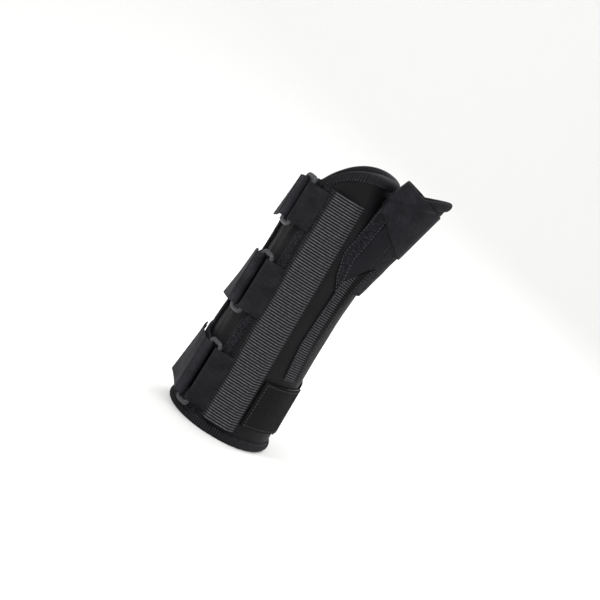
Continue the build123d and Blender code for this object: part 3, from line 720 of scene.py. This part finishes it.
def distal_place(turn, drop, growth):
    rim = rim_at(turn[:, 0])[:, None]
    points = arm_point(turn, rim - drop, growth)
    off = np.abs(points[..., 0] - pocket_foot_x + points[..., 2] * pocket_lean)
    dip = np.clip((slot_half + 3 - off) / 2.6, 0, 1) * (points[..., 1] < 0)
    pressed = np.maximum(points[..., 1], slot_far + 0.2 - 0.3 * (growth < 6))
    points[..., 1] += (pressed - points[..., 1]) * dip
    return points


proximal = rolled("proximal_binding_roll", 640, proximal_place, binding_tape)
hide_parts("proximal_binding")
distal = rolled("distal_binding_roll", 640, distal_place, binding_tape)
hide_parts("distal_binding")

# ---- Radial stay pocket ------------------------------------------------------
# Wide cross-ribbed webbing, sewn down both sides over a thin backing, with its mouth at
# the top. The bendable aluminium stay slides in between.
pocket_low, pocket_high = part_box("radial_stay_pocket")
pocket_width = 24.6
pocket_start = pocket_low.z / MM + 0.4
pocket_end = pocket_high.z / MM - 0.3
slot_near = stay_low.y / MM - slot_gap
rib_pitch = 1.82
selvage = 2.4               # the webbing's looped edge, without ribs

# The darker colour is the black yarn with painted shade between the ribs; the lighter is a painted
# highlight on their crests.
ribbed_webbing = ribbed_material("Cross-ribbed nylon webbing", rib_pitch, False,
                                 "030304", "5c5c60", 1.2, 0.75, width=pocket_width + 1.5, border=selvage)


def pocket_x(u, height):
    """Across the webbing, which leans a little towards the back of the hand."""
    return pocket_foot_x - height * pocket_lean + pocket_width * (0.5 - u)


def pocket_place(u, v, face):
    """Point of the webbing: face 1 is the outside, 0 the side of the slot."""
    height = pocket_start + (pocket_end - pocket_start) * v
    x = pocket_x(u, height)
    off = np.abs(u - 0.5) * pocket_width
    crown = np.clip((pocket_width / 2 - off) / 4.2, 0, 1)
    crown = crown * crown * (3 - 2 * crown)
    sewn = near_point(x, height, shell_high)
    outer = near_point(x, height, 5.7 + 3.1 * crown + 0.25 * np.sin(0.11 * height))[..., 1]
    outer = np.where(off < slot_half, np.minimum(outer, slot_near - 0.7), outer)
    inner = np.where(off < slot_half + 0.5, slot_near, sewn[..., 1] + 0.3)
    return np.stack([x, np.where(face > 0.5, outer, inner), height], -1)


pocket = laid("radial_stay_pocket_webbing", pocket_place, shares(44, 0.012), shares(900, 0.002), 0.0, 1.0,
              ribbed_webbing)
grown(pocket, woven_ribs, ribbed_webbing, Rib_pitch=rib_pitch * MM, Rib_height=0.5 * MM, Wander=0.35 * MM,
      Turned=0.0)
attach(pocket, "splint_body")
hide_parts("radial_stay_pocket")

# ---- Thumb stay pocket -------------------------------------------------------
# Narrow webbing of the same weave, from beside the anchor patch up to the thumb, sewn
# flat over the thinner stay in the wall. Its head is cut at a slant.
band_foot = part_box("thumb_stay_pocket")[0].z / MM + 0.5
band_line = np.array([(28.6, band_foot), (25.7, 82.0), (26.2, 108.0), (27.3, 131.0), (31.0, 149.0)])
band_width = 10.0
band_pitch = 1.68
band_head_slant = 17.0      # the head is cut at a slant, along the gusset
# The darker colour is the black yarn with painted shade between the ribs; the lighter is a painted
# highlight on their crests.
narrow_webbing = ribbed_material("Narrow cross-ribbed webbing", band_pitch, False,
                                 "030304", "55555a", 1.2, 0.75, width=band_width + 0.6, border=1.6)


def smooth_line(line, count):
    """Points spread along a smooth curve through the given ones."""
    steps = np.concatenate([[0], np.cumsum(np.linalg.norm(np.diff(line, axis=0), axis=1))])
    spread = np.linspace(0, steps[-1], count)
    eased = np.stack([np.interp(spread, steps, line[:, k]) for k in (0, 1)], 1)
    for _ in range(count // 8):
        eased[1:-1] = (eased[:-2] + 2 * eased[1:-1] + eased[2:]) / 4
    return eased


def band_place(u, v, growth):
    line = smooth_line(band_line, 200)
    top = band_line[-1][1] - band_head_slant * (1 - u)
    height = band_foot + (top - band_foot) * v
    x = np.interp(height, line[:, 1], line[:, 0]) + band_width * (u - 0.5)
    return near_point(x, height, growth)


band = laid("thumb_stay_pocket_webbing", band_place, shares(16, 0.04), shares(520, 0.003), shell_high - 0.3,
            lambda u, v: 5.2 + 0.9 * rounding(u, v, 0.3, 0.01), narrow_webbing)
grown(band, woven_ribs, narrow_webbing, Rib_pitch=band_pitch * MM, Rib_height=0.45 * MM, Wander=0.35 * MM,
      Turned=0.0)
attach(band, "splint_body")
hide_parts("thumb_stay_pocket")

# ---- Gusset and trim at the thumb's root -------------------------------------
# A stretch gusset of smooth knit lets the thumb open out, with a strip of loop fabric
# sewn along it towards the wide webbing.
gusset_sides = np.array([(130, 22.6, 23.0), (138, 21.4, 27.4), (148, 20.6, 33.2), (158, 22.4, 34.4),
                         (168, 24.2, 36.4), (179, 26.4, 40.0)])
trim_sides = np.array([(124, 21.8, 22.4), (134, 16.8, 22.6), (148, 13.0, 21.4), (158, 14.2, 22.9),
                       (172, 16.4, 25.0), (187, 18.6, 27.0)])


def between_sides(sides):
    """A place function for a flat piece whose two sides are given by height."""
    def place(u, v, growth):
        height = sides[0, 0] + (sides[-1, 0] - sides[0, 0]) * v
        left, right_x = (np.interp(height, sides[:, 0], sides[:, k]) for k in (1, 2))
        return near_point(left + (right_x - left) * u, height, growth)
    return place


def stretch_material():
    """Smooth stretch knit: even blue black with a soft sheen."""
    material, tree, shader = new_material("Smooth stretch knit")
    place = add(tree, "ShaderNodeTexCoord").outputs["Object"]
    mottle = noise(tree, place, 9, 3.0)
    threads = noise(tree, place, 0.7)
    colours = blend(tree, mottle, "08080c", "121218")
    bump = relief(tree, threads, 0.3, 0.2)
    dress(tree, shader, colours, bump, 0.6, 0.02)
    return material


stretch_knit = stretch_material()
gusset = laid("thumb_gusset_knit", between_sides(gusset_sides), shares(24, 0.03), shares(60, 0.015),
              shell_high - 0.4, lambda u, v: 5.1 + 0.7 * rounding(u, v, 0.1, 0.03), stretch_knit)
trim = laid("gusset_trim_loop", between_sides(trim_sides), shares(24, 0.03), shares(70, 0.015),
            shell_high - 0.4, lambda u, v: 5.1 + 0.8 * rounding(u, v, 0.1, 0.02), loop_fabric)
for piece, node, slot in ((gusset, "thumb_gusset", "shell_fabric"), (trim, "gusset_trim", "loop_fabric")):
    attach(piece, "splint_body")
    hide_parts(node)

# ---- Thumb sleeve ------------------------------------------------------------
# A tube of loop fabric on foam grows out of the shell at the thumb's root, and ends in a
# slanting rim bound with the same elastic tape as the hand.
thumb_rim_slope = tan(radians(20))
sleeve_thickness = 2.2
sleeve_foot = 127.0


def thumb_rim_at(angle, growth):
    """Height of the sleeve's slanting rim at angles round the thumb."""
    height = np.full_like(angle, thumb_mouth[2])
    for _ in range(12):
        across = thumb_point(angle, height, growth)[..., 0] - thumb_mouth[0]
        height = thumb_mouth[2] + thumb_rim_slope * across
    return height


def sleeve_place(u, v, growth):
    angle = 2 * pi * u
    top = thumb_rim_at(angle, sleeve_thickness) - edge_gap
    height = sleeve_foot + (top - sleeve_foot) * v
    slack = np.where(growth > 1, creases(2 * angle, 2 * height, 0.35), 0)
    return thumb_point(angle, height, growth + slack)


def outside_arm(points, growth):
    """Which points lie outside the grown arm form."""
    cx, cy, a, b = arm_at(points[:, 2])
    return ((points[:, 0] - cx) / (a + growth)) ** 2 + ((points[:, 1] - cy) / (b + growth)) ** 2 > 1


sleeve = laid("thumb_sleeve_tube", sleeve_place, np.linspace(0, 1, 91)[:-1], shares(80, 0.01), 0.0,
              sleeve_thickness, loop_fabric, keep=lambda points: outside_arm(points, 1.2), around=True)
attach(sleeve, "splint_body")
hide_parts("thumb_sleeve")

thumb_section = [(6.2, 1.9), (5.6, 2.9), (4.2, 3.4), (2.4, 3.4), (1.0, 2.9), (0.2, 2.0), (0.0, 1.0),
                 (0.4, 0.0), (1.4, -0.8), (3.4, -0.9), (5.4, -0.7), (6.0, 0.0), (5.0, 0.6), (5.0, 1.4)]


def thumb_binding_place(turn, drop, growth):
    return thumb_point(turn, thumb_rim_at(turn, sleeve_thickness) - drop, growth)


thumb_roll = rolled("thumb_binding_roll", 300, thumb_binding_place, binding_tape, thumb_section)
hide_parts("thumb_binding")

# ---- Thumb strap -------------------------------------------------------------
# Wide smooth elastic sewn round the sleeve at a slant. Its free end folds over on the
# radial side and is held there by a hook tab on its underside.
strap_left_x = 26.4
thumb_strap_low = 178.5
thumb_strap_high = 209.0
low_slope = tan(radians(42))
high_slope = tan(radians(19))
joints = {j["name"]: j for j in frame["record"]["behaviour"]["joints"]}
flap_foot = np.array(joints["thumb_strap_peel"]["pos_m"]) / MM
flap_axis = np.array(joints["thumb_strap_peel"]["axis"])
flap_reach = 16.5


def elastic_material():
    """Brushed elastic: violet black, mottled, with fine lengthwise threads."""
    material, tree, shader = new_material("Brushed wide elastic")
    cut = add(tree, "ShaderNodeUVMap", uv_map="cut").outputs[0]
    place = add(tree, "ShaderNodeTexCoord").outputs["Object"]
    threads = add(tree, "ShaderNodeMapping", {
        "Vector": cut, "Scale": (1 / (5 * MM), 1 / (0.9 * MM), 1)}).outputs[0]
    streaks = add(tree, "ShaderNodeTexNoise", {"Vector": threads, "Scale": 1.0, "Detail": 2.0}).outputs[0]
    mottle = noise(tree, place, 8, 4.0)
    both = calc(tree, "MULTIPLY", streaks, mottle)
    spread = ranged(tree, both, 0.12, 0.42)
    colours = blend(tree, spread, "0e0e11", "201f25")
    bump = relief(tree, streaks, 0.4, 0.3)
    dress(tree, shader, colours, bump, 0.75, 0.03)
    shader.inputs["Sheen Roughness"].default_value = 0.4
    return material


elastic = elastic_material()


def strap_edges_at(angle, growth):
    """Heights of the thumb strap's lower and upper edges at angles round the thumb."""
    low = np.full_like(angle, 175.0)
    high = np.full_like(angle, 200.0)
    for _ in range(60):
        low = 0.6 * low + 0.4 * (thumb_strap_low - low_slope
                                 * (thumb_point(angle, low, growth)[..., 0] - strap_left_x))
        high = 0.6 * high + 0.4 * (thumb_strap_high - high_slope
                                   * (thumb_point(angle, high, growth)[..., 0] - strap_left_x))
    return low, high


def over_binding(angle, height, growth):
    """Growth raised where the strap climbs over the sleeve's bound rim."""
    rim = thumb_rim_at(angle, sleeve_thickness)
    return growth + 1.5 * np.clip((height - rim + 8.5) / 2.5, 0, 1)


def hinge_x_at(height):
    """Where the flap's slanting hinge line is at heights."""
    return flap_foot[0] + flap_axis[0] / flap_axis[2] * (height - flap_foot[2])


def thumb_strap_place(u, v, growth):
    angle = 2 * pi * u
    low, high = strap_edges_at(angle, growth)
    height = low + (high - low) * v
    past = thumb_point(angle, height, growth)[..., 0] - hinge_x_at(height)
    near = (np.cos(angle) > 0) & (past > -0.6)
    doubled = np.where(near, 2.0 * (1 - np.clip((past - 3) / 9, 0, 1)) ** 2, 0)
    return thumb_point(angle, height, over_binding(angle, height, growth) + doubled)


def layer_rounding(base, thickness, edge_u, edge_v):
    """Low and high growths of a sheet with rounded edges."""
    def low(u, v):
        return base + 0.5 * thickness * (1 - rounding(u, v, edge_u, edge_v))

    def high(u, v):
        return base + 0.5 * thickness * (1 + rounding(u, v, edge_u, edge_v))
    return low, high


low, high = layer_rounding(2.3, 1.2, 1e-9, 0.02)
thumb_wrap = laid("thumb_strap_wrap", thumb_strap_place, np.linspace(0, 1, 161)[:-1],
                  shares(40, 0.02), low, high, elastic,
                  keep=lambda points: outside_arm(points, 5.0), around=True)
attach(thumb_wrap, "splint_body")
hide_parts("thumb_strap")


def flap_angle(height, reach_back, growth):
    """Angle on the thumb of a point a way back from the flap's hinge line."""
    cx, _, radius = thumb_at(height)
    return np.arcsin(np.clip((cx - hinge_x_at(height) + reach_back) / (radius + growth), -0.97, 0.97))


def flap_place(u, v, growth):
    """u runs from just before the hinge to the free end, v from the lower to the upper edge."""
    reach_back = -1.0 + (flap_reach + 1.0) * u
    height = 170 + 30 * v
    for _ in range(40):
        angle = flap_angle(height, reach_back, growth)
        low, high = strap_edges_at(angle, 4.4 + 0 * angle)
        height = 0.5 * height + 0.5 * (low + (high - low) * (0.01 + 0.98 * v))
    lifted = over_binding(angle, height, growth) + 1.1 * np.clip((u - 0.7) / 0.3, 0, 1) ** 2
    return thumb_point(flap_angle(height, reach_back, growth), height, lifted)


low, high = layer_rounding(4.3, 1.3, 0.035, 0.025)
flap = laid("thumb_strap_flap", flap_place, shares(36, 0.03), shares(44, 0.02), low, high, elastic)
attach(flap, "thumb_flap")
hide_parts("thumb_strap_end")

# ---- Rings -------------------------------------------------------------------
# Three moulded acetal loops, each held by its inner bar in a tab on the shell. A strap
# turns round each outer bar. They are the design's own nodes, in moulded plastic.


def repaint(node, material):
    """Gives one of the design's own nodes another material."""
    frame["nodes"][node].data.materials.clear()
    frame["nodes"][node].data.materials.append(material)


def acetal_material():
    """Moulded acetal: dark grey, satin, with faint flow marks and scuffs."""
    material, tree, shader = new_material("Moulded dark grey acetal", 0.4)
    place = add(tree, "ShaderNodeTexCoord").outputs["Object"]
    flow = noise(tree, place, 7, 4.0)
    grain = noise(tree, place, 0.5)
    colours = blend(tree, flow, "1f1f21", "38393c")
    gloss = add(tree, "ShaderNodeMapRange", {"Value": flow, "To Min": 0.32, "To Max": 0.5}).outputs[0]
    bump = relief(tree, grain, 0.12, 0.1)
    tree.links.new(colours.outputs[2], shader.inputs["Base Color"])
    tree.links.new(gloss, shader.inputs["Roughness"])
    tree.links.new(bump.outputs[0], shader.inputs["Normal"])
    shader.inputs["IOR"].default_value = 1.48
    return material


acetal = acetal_material()
strap_names = ("top", "middle", "bottom")
for name in strap_names:
    repaint(name + "_ring", acetal)

# ---- Closing straps ----------------------------------------------------------
# Brushed loop strap, 1.2 mm thick. Each is sewn to the shell, goes under its ring's outer
# bar, turns round it and lies back on itself, held by a hook tab under its free end.
# The legs curve where they leave the shell. Legs and turns are baked in place and go with no body.
strap_thickness = 1.2
bar_turn = 2.3              # from the bar's centre to the middle of the strap
leg_start = 3.2             # the leg begins this far past the outer bar
leg_turn = radians(14)      # and lies on the arm from this far round, the free end from pull_turn
leg_growth = 5.75
pull_turn = radians(17)
hook_from = radians(67)     # the hook tab's inner edge, and its depth under the free end's middle
hook_under = 0.98
tab_turn = 2.4              # from the inner bar's centre to the middle of the tab
tab_far = radians(34)       # the tab's sewn foot, back from the ring
tab_near = radians(24)
pull_lift = 6.8
pull_growth = 8.2
pull_from = radians(86)     # the free end reaches back to here
flare_from = radians(60)    # and stands off more and more from here
flare_span = radians(26)
seams = {"top": 178, "middle": 178, "bottom": 268}
climbs = {"top": (-0.23, 0.0), "middle": (-0.10, 0.0), "bottom": (0.12, -0.05)}
flares = {"top": 1.6, "middle": 1.2, "bottom": 2.6}    # how far a free end's corner stands off


def strap_material(name, dark, light, sheen):
    """Brushed nylon: dark grey, streaked along its run, with raised fibre."""
    material, tree, shader = new_material(name)
    cut = add(tree, "ShaderNodeUVMap", uv_map="cut").outputs[0]
    place = add(tree, "ShaderNodeTexCoord").outputs["Object"]
    brushed = add(tree, "ShaderNodeMapping", {
        "Vector": cut, "Scale": (1 / (7 * MM), 1 / (1.0 * MM), 1)}).outputs[0]
    streaks = add(tree, "ShaderNodeTexNoise", {"Vector": brushed, "Scale": 1.0, "Detail": 3.0}).outputs[0]
    worn = noise(tree, place, 11, 3.0)
    fibre = noise(tree, place, 0.8, 2.0)
    both = calc(tree, "ADD", streaks, worn)
    spread = ranged(tree, both, 0.7, 1.35)
    colours = blend(tree, spread, dark, light)
    nap = relief(tree, fibre, 0.4, 0.25)
    bump = relief(tree, streaks, 0.35, 0.35, nap.outputs[0])
    dress(tree, shader, colours, bump, 0.8, sheen)
    shader.inputs["Sheen Roughness"].default_value = 0.35
    shader.inputs["Sheen Tint"].default_value = linear("a9a9b4")
    return material


def hook_material():
    """Moulded nylon hook tape: nearly black, slightly shiny between its hooks."""
    material, tree, shader = new_material("Moulded nylon hook tape")
    place = add(tree, "ShaderNodeTexCoord").outputs["Object"]
    mottle = noise(tree, place, 3, 3.0)
    colours = blend(tree, mottle, "030304", "0c0c0e")
    tree.links.new(colours.outputs[2], shader.inputs["Base Color"])
    shader.inputs["Roughness"].default_value = 0.5
    return material


strap_loop = strap_material("Brushed nylon loop strap", "111113", "2b2b30", 0.06)
plain_tab = strap_material("Plain woven tab", "0f0f11", "202024", 0.02)
hook_tape = hook_material()


def ribbon(name, middle, thickness, material, side=1.0):
    """Closed strip of even thickness about a grid of middle points, its edges rounded."""
    run = np.gradient(middle, axis=0)
    width = np.gradient(middle, axis=1)
    normal = np.cross(run, width)
    normal /= np.linalg.norm(normal, axis=2, keepdims=True)
    rows, columns = middle.shape[:2]
    gap_u = np.cumsum(np.linalg.norm(run, axis=2), axis=0)
    gap_v = np.cumsum(np.linalg.norm(width, axis=2), axis=1)
    gap_u = np.minimum(gap_u - gap_u[:1], gap_u[-1:] - gap_u)
    gap_v = np.minimum(gap_v - gap_v[:, :1], gap_v[:, -1:] - gap_v)
    gap = np.clip(np.minimum(gap_u, gap_v) / (0.6 * thickness), 0, 1)
    half = side * 0.5 * thickness * (0.25 + 0.75 * np.sqrt(1 - (1 - gap) ** 2))[..., None]
    return closed_sheet(name, middle + normal * half, middle - normal * half, material)


class StrapPlace:
    """Where one strap runs: its ring's bars, its width, and its climb."""

    def __init__(self, name):
        self.inner = np.array(joints[name + "_ring_tilt"]["pos_m"]) / MM
        self.outer = np.array(joints[name + "_strap_peel"]["pos_m"]) / MM
        self.centre = (self.inner + self.outer) / 2
        away = (self.outer - self.inner)[:2]
        self.away = away / np.linalg.norm(away)
        self.out = np.array([-self.away[1], self.away[0]])
        low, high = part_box(name + "_strap_fold")
        self.half_width = (high.z - low.z) / MM / 2
        self.climb = climbs[name]
        self.seam = radians(seams[name])

    def height(self, xy, across):
        """Height of points of the strap, from its middle height and its climb."""
        reach = xy - self.outer[:2]
        return self.centre[2] + across + self.climb[1] * reach[..., 0] + self.climb[0] * reach[..., 1]

    def on_arm(self, angle, growth, across, lift=0.0):
        """Points on the arm at angles, with growth, at a way across the strap."""
        height = self.centre[2] + across + 0 * angle
        for _ in range(6):
            point = arm_point(angle, height, growth, lift)
            height = self.height(point[..., :2], across)
        point[..., 2] = height
        return point

    def at_ring(self, away, out, across):
        """Points in the ring's own level axes, about its outer bar."""
        xy = self.outer[:2] + away[..., None] * self.away + out[..., None] * self.out
        return np.concatenate([xy, self.height(xy, across)[..., None]], -1)

    def beside_bar(self, out, across):
        """Two rows of points just past the outer bar, where an arc round the arm takes over."""
        away = np.full((2, len(across)), leg_start) + np.array([[0.0], [1.0]])
        return self.at_ring(away, np.full(away.shape, out), np.tile(across, (2, 1)))


def eased_path(grid, passes):
    """The grid with its run smoothed, ends kept."""
    for _ in range(passes):
        grid[1:-1] = (grid[:-2] + 2 * grid[1:-1] + grid[2:]) / 4
    return grid


def even_run(grid, count, lip):
    """The grid's run spread again in even steps, with two close to each end."""
    steps = np.linalg.norm(np.diff(grid[:, grid.shape[1] // 2], axis=0), axis=1)
    length = np.concatenate([[0], np.cumsum(steps)])
    total = length[-1]
    steps = shares(count, lip / total) * total
    return np.stack([[np.interp(steps, length, grid[:, j, k]) for k in range(3)]
                     for j in range(grid.shape[1])], 0).transpose(2, 0, 1)


def across_steps(half_width):
    """Steps from -1 to 1 across a strip, about 2 mm apart."""
    return shares(int(half_width), 0.012) * 2 - 1


def corner_flare(angle, across, half_width, size):
    """How far a free end stands off, most at its lower far corner."""
    reach = np.clip((angle - flare_from) / flare_span, 0, 1)
    return reach ** 2 * (0.8 - across / half_width) * size


for name in strap_names:
    strap = StrapPlace(name)
    across = across_steps(strap.half_width) * strap.half_width
    ring_angle = atan2(-strap.outer[0], -strap.outer[1])

    # leg: from under the bar back to the seam
    turns = np.linspace(ring_angle + leg_turn, strap.seam, 140)
    a, w = np.meshgrid(turns, across, indexing="ij")
    on_arm = strap.on_arm(a, leg_growth + 0 * a, w)
    start = strap.beside_bar(-bar_turn - 0.15, across)
    leg_grid = eased_path(even_run(np.concatenate([start, on_arm]), 170, 0.8), 6)
    leg = ribbon(name + "_strap_leg", leg_grid, strap_thickness, strap_loop)
    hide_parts(name + "_strap")
    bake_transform(leg)

    # turn: round the outer bar
    bend = np.linspace(-pi / 2, -3 * pi / 2, 25)
    away = np.concatenate([[leg_start, 1.6], bar_turn * np.cos(bend), [1.6, leg_start]])
    out = np.concatenate([[-bar_turn, -bar_turn], bar_turn * np.sin(bend), [bar_turn, bar_turn]])
    a, w = np.meshgrid(away, across, indexing="ij")
    o, _ = np.meshgrid(out, across, indexing="ij")
    turn_grid = strap.at_ring(a, o, w)
    turn_piece = ribbon(name + "_strap_turn", turn_grid, strap_thickness, strap_loop)
    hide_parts(name + "_strap_fold")
    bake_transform(turn_piece)

    # free end: from the bar back over the leg
    turns = np.linspace(ring_angle + pull_turn, pull_from, 60)
    a, w = np.meshgrid(turns, across, indexing="ij")
    flare = corner_flare(a, w, strap.half_width, flares[name])
    on_arm = strap.on_arm(a, pull_growth + flare, w, pull_lift)
    start = strap.beside_bar(bar_turn, across)
    pull_grid = eased_path(even_run(np.concatenate([start, on_arm]), 70, 0.8), 10)
    pull = ribbon(name + "_strap_free_end", pull_grid, strap_thickness, strap_loop)
    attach(pull, name + "_pull")
    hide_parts(name + "_pull_end")

    # hook tab sewn under the free end
    turns = np.linspace(hook_from, pull_from - 0.02, 24)
    tab_across = across_steps(strap.half_width) * (strap.half_width - 2)
    a, w = np.meshgrid(turns, tab_across, indexing="ij")
    flare = corner_flare(a, w, strap.half_width, flares[name])
    hook_grid = strap.on_arm(a, pull_growth - hook_under + flare, w, pull_lift)
    hook = ribbon(name + "_hook_pad", hook_grid, 0.7, hook_tape)
    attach(hook, name + "_pull")
    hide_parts(name + "_hook_tab")

    # ring tab: a loop of webbing round the inner bar, sewn flat to the shell
    tab_half = strap.half_width - 0.5
    tab_across = across_steps(tab_half) * tab_half
    inner_away = -np.linalg.norm((strap.outer - strap.inner)[:2])
    flat_turn = np.linspace(-pi / 2, pi / 2, 19)
    loop_away = inner_away + tab_turn * np.cos(flat_turn)
    loop_out = tab_turn * np.sin(flat_turn)
    ring_turns = ring_angle - np.linspace(tab_far, tab_near, 12)
    a, w = np.meshgrid(ring_turns, tab_across, indexing="ij")
    under = arm_point(a, strap.centre[2] + w, 5.4 + 0 * a)
    over = arm_point(a[::-1], strap.centre[2] + w, 6.5 + 0 * a)
    la, w = np.meshgrid(loop_away, tab_across, indexing="ij")
    lo, _ = np.meshgrid(loop_out, tab_across, indexing="ij")
    xy = strap.outer[:2] + la[..., None] * strap.away + lo[..., None] * strap.out
    loop = np.concatenate([xy, (strap.centre[2] + w)[..., None]], -1)
    tab_grid = even_run(np.concatenate([under, loop, over]), 90, 0.6)
    tab = ribbon(name + "_ring_tab_loop", tab_grid, 1.05, plain_tab)
    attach(tab, "splint_body")
    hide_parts(name + "_ring_tab")

# ---- Anchor patch ------------------------------------------------------------
# The bottom strap's other end: a patch of coarse hook fabric that grips the loop face of
# the shell. Its hooks stand in slanting rows.
patch_low, patch_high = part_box("anchor_patch")
patch_base = 5.1
patch_top = 7.0


def patch_place(u, v, growth):
    """u runs from the edge beside the wide webbing round to the peeling hinge, v runs up."""
    height = patch_low.z / MM + 0.3 + (patch_high.z - patch_low.z - 0.6 * MM) / MM * v
    left_x = patch_low.x / MM + 0.3
    first = np.arcsin(np.clip(-left_x / 41.0, -1, 1)) + 0 * u
    last = -radians(85.5)
    return arm_point(first + (last - first) * u, height, growth)


def patch_spot(u, v, growth):
    """One point of the patch."""
    return patch_place(np.array([[u]]), np.array([[v]]), growth)[0, 0]


def hooks_tree():
    """Stands a small hook on each point, along its facing."""
    tree, group = sized_tree("Hook field", "Hook width", "Hook height")
    size = add(tree, "ShaderNodeCombineXYZ", {0: group["Hook width"], 1: group["Hook width"],
                                              2: group["Hook height"]}).outputs[0]
    ball = add(tree, "GeometryNodeMeshIcoSphere", {"Radius": 0.5, "Subdivisions": 1}).outputs[0]
    facing = attribute(tree, "facing", "FLOAT_VECTOR")
    turn = add(tree, "FunctionNodeAlignRotationToVector", {"Vector": facing}, axis="Z").outputs[0]
    placed = add(tree, "GeometryNodeInstanceOnPoints", {"Points": group["Geometry"], "Instance": ball,
                                                        "Rotation": turn, "Scale": size}).outputs[0]
    return ended(tree, group, placed)


low, high = layer_rounding(patch_base, patch_top - patch_base, 0.03, 0.03)
patch = laid("anchor_patch_base", patch_place, shares(40), shares(36), low, high, hook_tape)
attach(patch, "anchor_end")
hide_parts("anchor_patch")

patch_u, patch_v = 27, 21    # hooks in a row, and pairs of rows
hook_points, facings = [], []
for row in range(2 * patch_v):
    for column in range(patch_u):
        u = (column + 0.5 + 0.5 * (row % 2)) / (patch_u + 0.5)
        v = (row + 0.5) / (2 * patch_v)
        foot, head = patch_spot(u, v, patch_top - 0.1), patch_spot(u, v, patch_top + 1.0)
        hook_points.append(foot)
        facings.append((head - foot) / np.linalg.norm(head - foot))
hooks = mesh_piece("anchor_patch_hooks", hook_points, np.zeros((0, 4), int), hook_tape)
facing = hooks.data.attributes.new("facing", "FLOAT_VECTOR", "POINT")
facing.data.foreach_set("vector", np.array(facings).reshape(-1))
hooks = grown(hooks, hooks_tree(), hook_tape, Hook_width=1.0 * MM, Hook_height=0.9 * MM)
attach(hooks, "anchor_end")

# ---- Seams -------------------------------------------------------------------
# Lockstitched seams in grey nylon thread hold every tape and pocket down. One node tree
# lays stitches of even length along a line; each body carries its own thread.
stitch_pitch = 2.3
stitch_share = 0.72         # of the pitch is thread, the rest a gap


def stitches_tree():
    """Lays stitches along a line, each a short rounded bar that points along it."""
    tree, group = sized_tree("Lockstitch", "Stitch pitch", "Thread width")
    curve = add(tree, "GeometryNodeMeshToCurve", {"Mesh": group["Geometry"]}).outputs[0]
    spread = add(tree, "GeometryNodeCurveToPoints", {"Curve": curve, "Length": group["Stitch pitch"]},
                 mode="LENGTH").outputs
    length = calc(tree, "MULTIPLY", group["Stitch pitch"], stitch_share)
    size = add(tree, "ShaderNodeCombineXYZ", {0: group["Thread width"], 1: group["Thread width"],
                                              2: length}).outputs[0]
    bar = add(tree, "GeometryNodeMeshIcoSphere", {"Radius": 0.5, "Subdivisions": 1}).outputs[0]
    placed = add(tree, "GeometryNodeInstanceOnPoints", {
        "Points": spread["Points"], "Instance": bar,
        "Rotation": spread["Rotation"], "Scale": size}).outputs[0]
    return ended(tree, group, placed)


thread, tree, shader = new_material("Grey nylon thread")
shader.inputs["Base Color"].default_value = linear("46464b")
shader.inputs["Roughness"].default_value = 0.6
lockstitch = stitches_tree()


def sewn(name, body, slot, lines):
    """The thread of several seams on one body, from their lines of points in mm."""
    mesh = bpy.data.meshes.new(name)
    points, edges = [], []
    for line in lines:
        edges += [(len(points) + k, len(points) + k + 1) for k in range(len(line) - 1)]
        points += (np.asarray(line) * MM).tolist()
    mesh.from_pydata(points, edges, [])
    piece = bpy.data.objects.new(name, mesh)
    bpy.context.scene.collection.objects.link(piece)
    grown(piece, lockstitch, thread, Stitch_pitch=stitch_pitch * MM, Thread_width=0.55 * MM)
    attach(piece, body)


run = np.linspace(0.012, 0.985, 240)[None, :]
thread_lift = np.array([0, -0.35, 0])
seam_lines = [pocket_place(np.array([[side]]), run, 1.0)[0] + thread_lift for side in (0.055, 0.945)]
seam_lines += [band_place(np.array([[side]]), run, 6.2)[0] for side in (0.09, 0.91)]
seam_lines += [between_sides(trim_sides)(np.array([[side]]), run, 6.05)[0] for side in (0.07, 0.93)]
turn_round = np.linspace(0, 2 * pi, 500)[:, None]
seam_lines += [distal_place(turn_round, np.array([[5.9]]), 5.85)[:, 0],
               arm_point(turn_round, 5.9 + 0 * turn_round, 5.85)[:, 0],
               thumb_binding_place(turn_round, np.array([[5.5]]), 3.0)[:, 0]]
sewn("shell_seam_thread", "splint_body", "binding_tape", seam_lines)
there, back = np.linspace(0.05, 0.95, 30), np.linspace(0.95, 0.05, 30)
around_patch = [(u, 0.05) for u in there] + [(0.95, v) for v in there]
around_patch += [(u, 0.95) for u in back] + [(0.05, v) for v in back]
patch_seam = [patch_spot(u, v, patch_top + 0.15) for u, v in around_patch]
sewn("anchor_patch_thread", "anchor_end", "strap_fabric", [patch_seam])

# ---- Stays and the thumb flap's hook tab -------------------------------------
# Bendable aluminium strips with rounded ends, blanked from sheet. They are inside the
# splint, and only the radial one can be slid out, for washing.


def sheet_metal_material():
    """Mill-finish aluminium sheet: bright, with rolling marks along it."""
    material, tree, shader = new_material("Mill-finish aluminium sheet", 0.5)
    place = add(tree, "ShaderNodeTexCoord").outputs["Object"]
    rolled_way = add(tree, "ShaderNodeMapping", {"Vector": place, "Scale": (1 / (0.5 * MM), 1 / (0.5 * MM),
                                                                          1 / (40 * MM))}).outputs[0]
    marks = add(tree, "ShaderNodeTexNoise", {"Vector": rolled_way, "Scale": 1.0, "Detail": 2.0}).outputs[0]
    gloss = add(tree, "ShaderNodeMapRange", {"Value": marks, "To Min": 0.25, "To Max": 0.45}).outputs[0]
    bump = relief(tree, marks, 0.1, 0.05)
    tree.links.new(gloss, shader.inputs["Roughness"])
    tree.links.new(bump.outputs[0], shader.inputs["Normal"])
    shader.inputs["Base Color"].default_value = linear("c3c5c8")
    shader.inputs["Metallic"].default_value = 1.0
    return material


aluminium = sheet_metal_material()
for node in ("radial_stay", "thumb_stay", "palmar_stay"):
    repaint(node, aluminium)
repaint("thumb_hook_tab", hook_tape)
